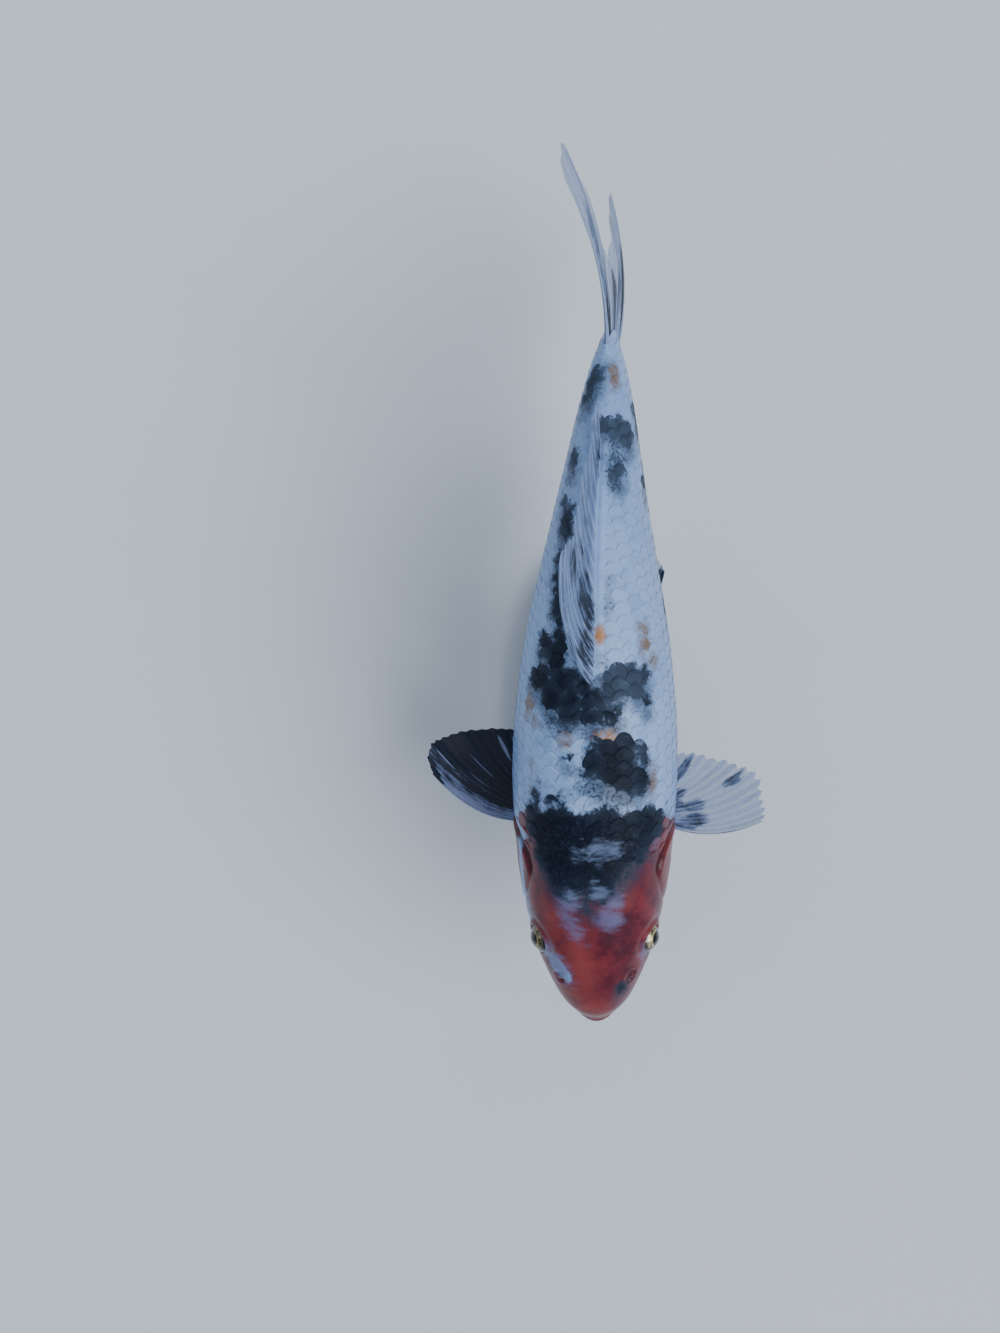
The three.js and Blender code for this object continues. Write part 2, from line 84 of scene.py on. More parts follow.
class Finish:
    """A material, with the one way in which its nodes are made."""

    def __init__(self, name):
        self.material = bpy.data.materials.new(name)
        self.material.use_nodes = True
        self.tree = self.material.node_tree
        self.tree.nodes.clear()

    def node(self, kind, settings, sockets, output=0):
        made = self.tree.nodes.new(kind)
        for key, value in settings.items():
            setattr(made, key, value)
        for place, value in sockets.items() if isinstance(sockets, dict) else enumerate(sockets):
            if isinstance(value, Value):
                self.tree.links.new(value.socket, made.inputs[place])
            elif isinstance(value, tuple) and len(value) == 3 and len(made.inputs[place].default_value) == 4:
                made.inputs[place].default_value = (*value, 1.0)
            else:
                made.inputs[place].default_value = value
        return Value(self, made.outputs[output]) if made.outputs else None

    def places(self):
        """Object coordinates, in metres."""
        return self.node("ShaderNodeTexCoord", {}, {}, output="Object")

    def stored(self, name):
        """A number kept on the mesh's points."""
        return self.node("ShaderNodeAttribute", {"attribute_name": name}, {}, output="Fac")

    def noise(self, at, scale, detail=3.0, roughness=0.55):
        sockets = {"Vector": at, "Scale": scale, "Detail": detail, "Roughness": roughness}
        return self.node("ShaderNodeTexNoise", {}, sockets)

    def step(self, value, low, high):
        """A soft step from 0 at low to 1 at high."""
        span = {"Value": value, "From Min": low, "From Max": high}
        return self.node("ShaderNodeMapRange", {"interpolation_type": "SMOOTHSTEP"}, span)

    def blend(self, first, second, share):
        """The first colour where share is 0, the second where it is 1."""
        return self.node("ShaderNodeMix", {"data_type": "RGBA"}, {0: share, 6: first, 7: second}, output=2)

    def bump(self, height, strength, distance):
        return self.node("ShaderNodeBump", {}, {"Height": height, "Strength": strength, "Distance": distance})

    def shade(self, **sockets):
        """A principled surface. Socket names use _ for a space."""
        named = {key.replace("_", " "): value for key, value in sockets.items()}
        surface = self.node("ShaderNodeBsdfPrincipled", {}, named)
        self.node("ShaderNodeOutputMaterial", {}, {"Surface": surface})
        return self.material


def mesh_piece(name, points, faces, material):
    """A smooth mesh object from points in millimetres and lists of faces."""
    mesh = bpy.data.meshes.new(name)
    listed = [face for part in faces for face in part.tolist()]
    mesh.from_pydata((np.asarray(points) * MM).tolist(), [], listed)
    mesh.materials.append(material)
    mesh.polygons.foreach_set("use_smooth", [True] * len(mesh.polygons))
    made = bpy.data.objects.new(name, mesh)
    bpy.context.collection.objects.link(made)
    return made


FLOOR_REACH = 6000
floor_finish = Finish("pale_floor")
grain = floor_finish.noise(floor_finish.places(), 9.0)
floor_colour = floor_finish.blend((0.7, 0.73, 0.77), (0.74, 0.77, 0.81), grain)
floor_corners = [(x * FLOOR_REACH, y * FLOOR_REACH, 0) for x, y in ((-1, -1), (1, -1), (1, 1), (-1, 1))]
floor_material = floor_finish.shade(Base_Color=floor_colour, Roughness=0.75)
floor = mesh_piece("floor", floor_corners, [np.array([(0, 1, 2, 3)])], floor_material)

world = bpy.data.worlds.new("room")
world.use_nodes = True
world.node_tree.nodes["Background"].inputs["Color"].default_value = (0.68, 0.8, 1.0, 1.0)
world.node_tree.nodes["Background"].inputs["Strength"].default_value = 0.3
bpy.context.scene.world = world


def soft_lamp(name, bearing, climb, spread, strength, colour):
    """A broad far lamp. Its bearing runs from the fish's left round to its tail."""
    lamp = bpy.data.lights.new(name, "SUN")
    lamp.energy, lamp.angle, lamp.color = strength, math.radians(spread), colour
    made = bpy.data.objects.new(name, lamp)
    made.rotation_euler = (0, math.radians(90 - climb), math.radians(bearing))
    bpy.context.collection.objects.link(made)


soft_lamp("key_light", -20, 52, 50, 2.4, (0.92, 0.97, 1.0))
soft_lamp("fill_light", 160, 50, 60, 0.5, (0.76, 0.87, 1.0))
soft_lamp("back_light", 80, 45, 50, 0.45, (0.9, 0.95, 1.0))

# The camera looks straight down, half a metre over the fish and a little to the fish's right.
AXIS_HEIGHT = 96  # the body's axis over the floor
CAMERA_PLACE = (-37.16, 23.4)  # along X, towards the fish's left, and along Y, towards its tail
CAMERA_RISE = 520  # over the axis
VIEW_WIDTH = 395.5  # width seen at the height of the axis
SENSOR_WIDTH = 36.0
camera_data = bpy.data.cameras.new("camera")
camera_data.sensor_fit = "HORIZONTAL"
camera_data.sensor_width = SENSOR_WIDTH
camera_data.lens = SENSOR_WIDTH * CAMERA_RISE / VIEW_WIDTH
camera = bpy.data.objects.new("camera", camera_data)
camera.location = np.array([*CAMERA_PLACE, AXIS_HEIGHT + CAMERA_RISE]) * MM
bpy.context.collection.objects.link(camera)
bpy.context.scene.camera = camera


# --- The body's skin: one thin wet hide from the lips to the root of the tail fin, over bone on the head
# and flesh behind it. The head is bare, with gill covers, nostrils, lips and eye rims. The scales sit on it
# from the nape back.

# Each ring has its distance from the snout at its top, side and bottom, its half width, its height at the
# top, the widest point and the bottom, and how square it is above and below.
RINGS = np.array(
    [
        (6.5, 6.5, 6.5, 4.6, -7.2, -8.4, -8.0, 2.0, 2.0),  # throat behind the closed lips
        (2.6, 5.2, 3.6, 7.0, -6.6, -9.8, -7.3, 2.0, 2.0),  # where the lips meet
        (0.0, 5.0, 1.6, 8.6, -4.4, -9.6, -9.8, 2.0, 2.0),  # crest of the lips
        (1.7, 6.8, 3.8, 9.6, -1.9, -8.8, -12.2, 2.0, 2.0),  # groove round the lips
        (2.9, 8.2, 5.8, 11.4, 0.9, -7.4, -14.2, 2.1, 2.1),  # rim of the snout
        (6.6, 11.2, 10.2, 14.0, 6.4, -5.8, -17.2, 2.2, 2.2),
        (17, 18, 18, 17.5, 13.6, -4.4, -21.2, 2.3, 2.2),  # nostrils
        (27, 27, 27, 21.4, 18.6, -3.6, -24.6, 2.3, 2.2),
        (36, 36, 36, 24.5, 22.2, -3.0, -27.3, 2.3, 2.2),  # eyes
        (50, 50, 50, 27.6, 27.8, -2.0, -30.8, 2.25, 2.2),
        (68, 68, 68, 30.3, 33.4, -1.0, -34.4, 2.15, 2.3),  # nape
        (86, 86, 86, 32.2, 37.2, 0.0, -37.0, 2.1, 2.35),  # hind edge of the gill covers
        (106, 106, 106, 32.7, 39.8, 0.5, -38.8, 2.05, 2.35),
        (128, 128, 128, 31.6, 40.6, 1.0, -39.2, 2.0, 2.3),  # start of the dorsal fin
        (152, 152, 152, 28.8, 38.6, 1.0, -37.6, 2.0, 2.2),  # pelvic fins
        (176, 176, 176, 24.4, 34.0, 1.0, -33.8, 1.95, 2.1),
        (200, 200, 200, 19.6, 27.8, 0.5, -27.8, 1.95, 2.0),  # vent
        (222, 222, 222, 15.4, 21.6, 0.0, -21.8, 1.95, 2.0),
        (242, 242, 242, 11.6, 17.4, 0.0, -17.4, 2.0, 2.0),  # tail stalk
        (258, 258, 258, 7.8, 15.9, 0.0, -16.1, 2.0, 2.0),
        (264, 268, 264, 4.5, 16.4, 0.0, -16.8, 2.0, 2.0),
        (266, 274, 266, 2.2, 17.2, 0.0, -17.8, 2.0, 2.0),  # root of the tail fin
    ]
)
SNOUT_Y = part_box("lip_upper")[0][1] / MM
STANDARD_LENGTH = 270  # from the snout to the root of the tail fin
NECK = 60  # both ends bend to the left from here
HEAD_SWING, TAIL_SWING = 1.2, 6.5  # how far the snout and the root of the tail fin swing
HEAD_BANK, TAIL_BANK = math.radians(3.5), math.radians(10)  # how far the back leans over to the right


def smooth_rows(rows, t):
    """Catmull-Rom value of rows of numbers at each t, where whole t is a row."""
    t = np.asarray(t, float)
    i = np.clip(np.floor(t).astype(int), 0, len(rows) - 2)
    f = (t - i)[..., None]
    p0, p1, p2, p3 = (rows[np.clip(i + k, 0, len(rows) - 1)] for k in (-1, 0, 1, 2))
    bend = 2 * p0 - 5 * p1 + 4 * p2 - p3 + f * (3 * p1 - p0 - 3 * p2 + p3)
    return p1 + 0.5 * f * (p2 - p0 + f * bend)


def signed_power(x, power):
    return np.sign(x) * np.abs(x) ** power


def straight_body(t, angle, grow=0.0):
    """The body before it is posed: distance from the snout, place to the left and height over the axis.
    An angle of 0 is the fish's left and 90 degrees its back."""
    ring = smooth_rows(RINGS, t)
    c, s = np.cos(angle), np.sin(angle)
    square = np.where(s > 0, ring[..., 7], ring[..., 8])
    rise = np.where(s > 0, ring[..., 4] - ring[..., 5], ring[..., 5] - ring[..., 6]) + grow
    along = ring[..., 1] * c * c + np.where(s > 0, ring[..., 0], ring[..., 2]) * s * s
    across = (ring[..., 3] + grow) * signed_power(c, 2 / square)
    height = ring[..., 5] + rise * signed_power(s, 2 / square)
    return np.stack([along, across, height], axis=-1)


def frame_at(s):
    """The body's own centre, left, back and up at a distance from the snout, in the bent and banked pose."""
    s = np.asarray(s, float)
    rear = s > NECK
    span = np.where(rear, STANDARD_LENGTH - NECK, NECK)
    reach = np.where(rear, s - NECK, NECK - s) / span
    swing = np.where(rear, TAIL_SWING, HEAD_SWING)
    slope = np.where(rear, 2, -2) * swing * reach / span
    zero = np.zeros_like(s)
    back = np.stack([slope, zero + 1, zero], axis=-1) / np.sqrt(1 + slope**2)[..., None]
    level = np.stack([back[..., 1], -back[..., 0], zero], axis=-1)
    bank = (HEAD_BANK + (TAIL_BANK - HEAD_BANK) * (s / STANDARD_LENGTH) ** 2)[..., None]
    upright = np.array([0.0, 0.0, 1.0])
    up = upright * np.cos(bank) - level * np.sin(bank)
    left = level * np.cos(bank) + upright * np.sin(bank)
    centre = np.stack([swing * reach**2, SNOUT_Y + s, zero + AXIS_HEIGHT], axis=-1)
    return centre, left, back, up


def posed(straight):
    centre, left, _, up = frame_at(straight[..., 0])
    return centre + left * straight[..., 1, None] + up * straight[..., 2, None]


def soft(x, low, high):
    """A soft step from 0 at low to 1 at high."""
    x = np.clip((x - low) / (high - low), 0, 1)
    return x * x * (3 - 2 * x)


def bulge(x, width):
    return np.exp(-((x / width) ** 2))


def unit(direction):
    return np.array(direction) / np.linalg.norm(direction)


# Where things sit on the straight body: distance from the snout, out from the middle, height.
EYE_PLACE = np.array([36.8, 17.9, 7.6])
EYE_AXIS = unit([-0.14, 1.0, 0.44])
EYE_RADIUS = 7.0
EYE_OPENING = 5.2
NOSTRIL = np.array([21.5, 13.3, 11.2])
GILL_COVER = np.array(
    [
        (50, 2), (55, 13), (65, 18.5), (76, 12), (82, -3),
        (79.5, -16), (70, -26.5), (59, -30.5), (52, -22), (49.5, -10),
    ]
)  # fmt: skip
GILL_SIDE = 9  # the gill covers' marks and relief stay this far out from the middle


def closed_curve(points, count):
    """A closed Catmull-Rom curve through points."""
    looped = np.concatenate([points[-1:], points, points[:2]])
    return smooth_rows(looped, np.linspace(1, len(points) + 1, count, endpoint=False))


def inside_distance(points, outline):
    """Distance to a closed outline, positive inside it."""
    start, end = outline, np.roll(outline, -1, axis=0)
    flat = points.reshape(-1, 1, 2)
    run = end - start
    share = np.clip(((flat - start) * run).sum(-1) / (run**2).sum(-1), 0, 1)
    gap = np.linalg.norm(flat - start - share[..., None] * run, axis=-1).min(axis=1)
    crosses = (start[:, 1] > flat[..., 1]) != (end[:, 1] > flat[..., 1])
    rise = np.where(np.abs(run[:, 1]) < 1e-9, 1e-9, run[:, 1])
    level_with = start[:, 0] + (flat[..., 1] - start[:, 1]) / rise * run[:, 0]
    inside = (crosses & (flat[..., 0] < level_with)).sum(1) % 2
    return np.where(inside == 1, gap, -gap).reshape(points.shape[:-1])


gill_outline = closed_curve(GILL_COVER, 120)


def free_edge_at(s):
    """The gill cover is free behind, from 0 in front of its middle to 1 in the rear half."""
    return soft(s, 57, 66)


def gill_relief(s, within):
    """The gill cover stands up from the slit behind it and sinks into the cheek in front."""
    free_edge = free_edge_at(s)
    lip = soft(within, -0.35, 0.35) * 0.6 * (0.55 + 0.45 * bulge(within, 4)) + 0.12 * bulge(within - 1.2, 0.9)
    slit = -0.75 * soft(-within, -0.2, 0.5) * bulge(np.maximum(-within, 0), 2.6)
    seam = -0.3 * bulge(within, 0.9) + 0.25 * soft(within, 0, 4)
    return free_edge * (lip + slit) + (1 - free_edge) * seam


def gill_slit(point, within):
    """The shadow in the slit behind the gill cover's free edge."""
    return free_edge_at(point[..., 0]) * bulge(within + 0.9, 0.9) * (np.abs(point[..., 1]) > GILL_SIDE)


def head_relief(point):
    """How far the hide of the head stands out from the plain body."""
    s, out, height = point[..., 0], np.abs(point[..., 1]), point[..., 2]
    mirrored = np.stack([s, out, height], axis=-1)
    # Eye: the hide turns in under a soft rim, with a shallow moat round it.
    from_eye = mirrored - EYE_PLACE
    deep = from_eye @ EYE_AXIS
    ring = np.linalg.norm(from_eye - deep[..., None] * EYE_AXIS, axis=-1)
    near = (deep > 0) * 1.0
    relief = near * (-2.6 * soft(-ring, -EYE_OPENING - 0.2, -EYE_OPENING + 1.0))
    rim, moat = bulge(ring - EYE_OPENING - 1.1, 0.8), bulge(ring - EYE_OPENING - 3.2, 1.2)
    relief += near * (0.55 * rim - 0.3 * moat)
    # A bony brow over the eye, and the slight hollow of the cheek under it.
    relief += 0.5 * bulge(s - 38, 9) * bulge(height - 16.4, 2.6) * soft(out, 8, 14)
    relief -= 0.45 * bulge(s - 41, 7) * bulge(height + 8, 6) * soft(out, 12, 18)
    # Nostrils: a pit in front, a flap of skin, and a wider pit behind it.
    from_nostril = mirrored - NOSTRIL
    aside = np.hypot(from_nostril[..., 1], from_nostril[..., 2])
    relief -= 1.3 * bulge(from_nostril[..., 0] + 1.5, 0.95) * bulge(aside, 1.2)
    relief += 0.65 * bulge(from_nostril[..., 0], 0.7) * bulge(aside, 1.7)
    relief -= 1.5 * bulge(from_nostril[..., 0] - 1.8, 1.2) * bulge(aside, 1.6)
    relief += 0.3 * bulge(np.hypot(from_nostril[..., 0], aside) - 3.4, 0.9)
    # The front edge of the cheek plates, bowed from behind the eye to under it.
    bow = 43.5 - 0.012 * (height + 2) ** 2 - 0.0016 * np.maximum(0, -height - 10) ** 3
    relief -= 0.35 * bulge(s - bow, 1.0) * soft(-height, -6, 0) * soft(height, -27, -22)
    # Fine rays of bone across the gill cover, spreading from its upper front corner.
    hinge = np.arctan2(height - 14, s - 53)
    cover = soft(inside_distance(np.stack([s, height], axis=-1), gill_outline), 0.5, 3)
    relief += 0.07 * np.sin(hinge * 34) * cover * soft(out, 10, 16)
    # Two long ridges of the skull, and the low crease between them that ends at the nape.
    relief += 0.35 * bulge(out - 7, 3) * soft(height, 4, 12) * soft(s, 16, 30) * soft(-s, -70, -58)
    relief -= 0.25 * bulge(out, 2.0) * soft(height, 6, 14) * soft(s, 20, 34) * soft(-s, -70, -60)
    # The throat: the jaw's two bones with a crease beside each, and the folded skin between the gill covers.
    under = soft(-height, 9, 14)
    relief -= 0.55 * bulge(out - (3.4 + 0.3 * (s - 8)), 1.1) * under * soft(s, 9, 14) * soft(-s, -50, -40)
    relief -= 0.4 * bulge(out, 1.3) * under * soft(s, 16, 24) * soft(-s, -60, -50)
    for fold in range(3):
        edge = 47 + 4.5 * fold - 0.02 * out**2
        relief += 0.3 * bulge(s - edge, 1.1) * soft(-height, 19, 25) * soft(out, 2, 5)
    return relief


COAT_DEPTH = 0.5  # the scales' depth over the skin
COAT_BEGINS = (64, 72)  # stretch over which the skin drops to that depth
BARE_DEPTH = 0.15  # how far the bare hide of the head lies inside the solids
SNOUT_RIM = 4  # the ring from which distances from the snout only grow
LIP_RINGS = 5  # the first rings, which turn in over the lips
HEAD_END = 92  # the mesh is finer in front of it
t_fine = np.linspace(0, len(RINGS) - 1, 4000)
s_fine = smooth_rows(RINGS, t_fine)[:, 1]
after_lips = t_fine >= SNOUT_RIM


def ring_at(s):
    return np.interp(s, s_fine[after_lips], t_fine[after_lips])


around = 256
ring_places = np.concatenate(
    [
        np.linspace(0, LIP_RINGS, 60, endpoint=False),
        ring_at(np.linspace(RINGS[LIP_RINGS, 1], HEAD_END, 150, endpoint=False)),
        ring_at(np.linspace(HEAD_END, RINGS[-2, 1], 100, endpoint=False)),
        np.linspace(len(RINGS) - 2, len(RINGS) - 1, 8),
    ]
)
# Once round from the belly, left side first.
angles = np.linspace(-math.pi / 2, 1.5 * math.pi, around, endpoint=False)
ring_grid, angle_grid = np.meshgrid(ring_places, angles, indexing="ij")
plain = straight_body(ring_grid, angle_grid)
scaled = soft(plain[..., 0], *COAT_BEGINS)
bare_depth = BARE_DEPTH * soft(ring_grid, 3, 5)
plain = straight_body(ring_grid, angle_grid, -(bare_depth + (COAT_DEPTH - BARE_DEPTH) * scaled))


def grid_normals(points):
    """Outward unit normals of a grid of rings round the body."""
    along = np.gradient(points, axis=0)
    padded = np.concatenate([points[:, -1:], points, points[:, :1]], axis=1)
    across = (padded[:, 2:] - padded[:, :-2]) / 2
    normal = np.cross(across, along)
    return normal / np.maximum(np.linalg.norm(normal, axis=-1, keepdims=True), 1e-9)


normals = grid_normals(plain)

# Distance round the body from the middle of the back, positive to the left.
steps = np.linalg.norm(np.roll(plain, -1, axis=1) - plain, axis=-1)
arc = np.concatenate([np.zeros((len(steps), 1)), np.cumsum(steps, axis=1)[:, :-1]], axis=1)
back_column = around // 2
around_back = arc[:, back_column : back_column + 1] - arc

on_side = inside_distance(plain[..., [0, 2]], gill_outline)
on_side = np.where(np.abs(plain[..., 1]) > GILL_SIDE, on_side, -20.0)
relief = head_relief(plain) * soft(-plain[..., 0], -90, -80) * soft(ring_grid, 3.5, 5.5)
relief += gill_relief(plain[..., 0], on_side) * soft(on_side, -12, -6)
# Soft upright creases in the lips, and low walls of flesh at the root of the dorsal fin.
relief += 0.04 * np.sin(angle_grid * 26) * bulge(ring_grid - 2.1, 0.8)
dorsal_wall = bulge(np.abs(around_back) - 1.6, 1.5) * soft(plain[..., 0], 128, 134)
dorsal_wall = dorsal_wall * soft(-plain[..., 0], -232, -222)
relief += 0.6 * dorsal_wall * (plain[..., 2] > 0)
skin_points = plain + normals * relief[..., None]


def lay_flat(piece, flat):
    """Gives a piece its bake map, from one flat place for each corner of each face in turn."""
    layer = piece.data.uv_layers.new(name="OFBake")
    layer.uv.foreach_set("vector", np.concatenate([part.ravel() for part in flat]).astype(np.float32))


def ringed_piece(name, rings, material):
    """A closed mesh through rings of points. Its bake map is laid out as the way round against the rings."""
    rows, columns = rings.shape[:2]
    levels = rows + 1
    cells = np.meshgrid(np.arange(rows - 1), np.arange(columns), indexing="ij")
    i, j = (cell.reshape(-1, 1) for cell in cells)
    down, over = np.array([0, 0, 1, 1]), np.array([0, 1, 1, 0])
    walls = (i + down) * columns + (j + over) % columns
    walls_flat = np.stack([(j + over) / columns, (i + 1 + down) / levels], axis=-1)
    j = np.arange(columns).reshape(-1, 1)
    hub, over = rows * columns, np.array([0, 1])
    first = np.hstack([j * 0 + hub, ((j + over) % columns)[:, ::-1]])
    last = np.hstack([j * 0 + hub + 1, (rows - 1) * columns + (j + over) % columns])
    first_flat = np.stack([(j + [0.5, 1, 0]) / columns, (j * 0 + [0, 1, 1]) / levels], axis=-1)
    last_flat = np.stack([(j + [0.5, 0, 1]) / columns, (j * 0 + [levels, rows, rows]) / levels], axis=-1)
    points = np.vstack([rings.reshape(-1, 3), rings[0].mean(axis=0), rings[-1].mean(axis=0)])
    corners = points[walls]
    outwards = np.einsum("ij,ij->", corners[:, 0], np.cross(corners[:, 1], corners[:, 2])) > 0
    turn = slice(None) if outwards else slice(None, None, -1)
    piece = mesh_piece(name, points, [part[:, turn] for part in (walls, first, last)], material)
    lay_flat(piece, [0.01 + 0.98 * part[:, turn] for part in (walls_flat, first_flat, last_flat)])
    return piece


def with_hubs(values):
    """Numbers for the points of a ringed piece, from those of its rings."""
    return np.concatenate([np.ravel(values), [np.mean(values[0]), np.mean(values[-1])]])


def keep_on_points(piece, **numbers):
    for name, values in numbers.items():
        layer = piece.data.attributes.new(name, "FLOAT", "POINT")
        layer.data.foreach_set("value", np.asarray(values, dtype=np.float32).ravel())


# Markings. Each patch has a place (distance from the snout, distance round from the back, positive to the
# left), half its length and width, and the turn of its long side towards the left in degrees.
BLACK_AND_NOSTRIL_SHADE_PATCHES = [
    # painted shade of the left nostril's hollow, as a dark smudge in front of it
    (17, 10.5, 2.6, 2, 25),
    # the front patch, with specks to its right
    (105.5, 9, 9.5, 9.5, 0), (98.5, 11, 4, 5, 0), (101, 18.5, 5, 3.5, 0), (106, 0, 4.5, 3.2, 0),
    (111.5, 3.5, 4.3, 3.8, 0), (112.5, 13.5, 4.5, 4.5, 0), (109, 19.5, 3.5, 2.6, 0),
    (92.5, -23.5, 3.6, 1.5, 0), (92, -15.5, 1.4, 2.8, 0), (107.7, -9.6, 1.4, 1.4, 0),
    # the band across the start of the dorsal fin
    (149, -22, 5, 3.8, -20), (144, -15.5, 6.5, 4.6, 10), (136, -13, 6, 5, 0), (137, -24.5, 5, 5.2, 0),
    (130, -17.5, 5.5, 5, 0), (128.5, -8.5, 4.6, 5, 0), (129.5, 0, 4.4, 5, 0), (134, -3.5, 4, 3.5, 0),
    (134, 7, 4.6, 5.6, 20), (139, 13.5, 4.4, 6.2, 0), (138.5, 20, 3.2, 3.4, 0), (133, 17, 3, 3.4, 0),
    (128.8, 21.7, 2.2, 2.2, 0), (124, 5.5, 3, 4.5, 0), (123.5, -9, 2.6, 6, 0), (123, -1, 3, 4, 0),
    # the rear half of the back, and the tail stalk
    (156, -15, 6, 2.2, 0), (168, -16.5, 11, 2.2, -6), (196.5, -14.8, 8, 3.4, -14), (216, 7.5, 4.4, 2.6, 0),
    (221, -13, 4.2, 2.2, -5), (229.5, 12.5, 4.6, 3.6, 0), (233, 7, 3.8, 4.6, 0), (234, 2, 3, 3.6, 0),
    (249.5, -6, 8.5, 4.2, 32),
    # low on the left side
    (109, 66, 4, 3, 0), (114, 58, 6, 7, 20), (121, 63, 7, 5, -15), (127, 57, 4, 4, 0), (133, 66, 5, 3.5, 10),
    (150, 53, 1.8, 1.8, 0), (166, 46, 5, 3.5, -20), (173, 50, 6.5, 5, 10), (180, 45, 3.5, 3, 0),
    (192, 40, 2, 1.6, 0), (214, 28, 4, 3, 0), (220, 32, 5, 3.5, -10), (236, 23, 4, 3.5, 0),
    (242, 20, 4.5, 2.6, -20),
    # low on the right side
    (93, -62, 6, 5, 0), (96, -73, 4, 3, 0), (100, -67, 6, 7, 20), (107, -61, 5, 4, 0), (128, -54, 2, 1.6, 0),
    (146, -63, 2.5, 2, 0), (150, -56, 6, 3.5, 25), (158, -60, 7, 5, 10), (166, -56, 5, 3.5, -10),
    (172, -51, 4, 3, 0), (186, -44, 2.4, 1.6, 0), (208, -34, 4, 3, 0), (214, -38, 5, 3, -20),
]  # fmt: skip
FAINT_PATCHES = [
    (165, -18, 13, 4.5, 0), (169, 5.5, 9, 3, 0), (219, 6, 12, 6, 0), (143, 3, 4, 3, 0), (121, -12, 5, 10, 0),
    (192, -14.5, 13, 5, -8), (216, -14.5, 10, 4, -5), (136, -26, 7, 6, 0), (102, 7, 13, 14, 0),
    (118, 6, 4, 8, 0), (92, -14, 3.5, 11, 0),
]  # fmt: skip
GOLD_PATCHES = [(152.9, 2, 3, 3, 0), (115.6, 3.8, 1.8, 4.2, 0)]
RUST_PATCHES = [
    (156.5, 21.5, 3, 2.8, 0), (150.5, 22.5, 4, 3.4, 20), (145, 26, 3, 3.6, 0), (126, -30.5, 4.6, 3, 0),
    (120.5, -27, 3, 2.4, 0), (113, -10.5, 2.6, 2.6, 0), (99, 24, 6, 2, 0), (103, -27, 4, 1.6, 0),
    (252.5, 4.6, 5, 3, 0),
]  # fmt: skip
LILAC_PATCHES = [
    (45, -9.5, 7, 2.6, -32), (46.5, 5.5, 4.5, 4.8, 20), (31.5, 22, 3.4, 2.4, 0), (48.5, -33, 5, 3, 0),
    (80, 25.5, 3, 1.2, 0), (53, -11, 5, 3.4, -40), (53.5, 7, 4.5, 3.6, 30), (28, -16.5, 9, 3.6, -38),
]  # fmt: skip
WHITE_PATCHES = [
    (26.5, -15.5, 11, 3.6, -38), (60, -37.5, 14, 2.8, 0), (79, -36, 8, 1.1, -67), (46, -35, 4, 2.4, 0),
]  # fmt: skip
# Darker mottles of deep red over the left of the head: partly painted shade.
MAROON_AND_SHADE_PATCHES = [(22, 13, 10, 7, 0), (40, 11, 10, 7, 0), (60, 27, 10, 6, 0), (64, 7, 3, 7, 20)]
# Brighter, warmer red over the right of the head and at the snout: painted light.
PAINTED_LIGHT_PATCHES = [(26, -6, 16, 5, -10), (46, -17, 8, 4, 0), (9, -2, 4, 6, 0)]
ASH_PATCHES = [(73.5, 2.5, 5.5, 11, -10), (57, 1, 4.5, 4.5, 0), (54.5, -8, 4.5, 5, 0)]
SLATE_PATCHES = [(136, 13, 11, 13, 0), (128, 3, 4, 5, 0), (147, -23, 4, 5, 0), (109, 16, 6, 6, 0)]
WEDGE_S = [48, 52, 55.5, 61.6, 72, 84, 90]
WEDGE_RIGHT = [-2, -7, -15, -19.6, -24.3, -29, -31]
WEDGE_LEFT = [-2, 1, 4, 10.2, 20.5, 28.5, 31]


def in_patches(patches, s, w):
    """How far inside the nearest patch, in millimetres."""
    best = np.full(np.shape(s), -30.0)
    for at_s, at_w, length, width, turn in patches:
        c, n = math.cos(math.radians(turn)), math.sin(math.radians(turn))
        x = (c * (s - at_s) + n * (w - at_w)) / length
        y = (c * (w - at_w) - n * (s - at_s)) / width
        best = np.maximum(best, (1 - np.hypot(x, y)) * min(length, width))
    return best


def in_black(s, w):
    """How far inside the black: the patches, one of them painted shade by a nostril, and the wedge from the
    nape to a broken tip on the head.
    """
    from_right = 0.7 * (w - np.interp(s, WEDGE_S, WEDGE_RIGHT))
    from_left = 0.42 * (np.interp(s, WEDGE_S, WEDGE_LEFT) - w)
    from_hind_edge = 88.3 + 1.2 * np.sin(0.4 * w) - s
    from_tip = (s - 53) * 0.3
    wedge = np.minimum(np.minimum(from_right, from_left) + 0.3, np.minimum(from_hind_edge, from_tip))
    return np.maximum(wedge, in_patches(BLACK_AND_NOSTRIL_SHADE_PATCHES, s, w))


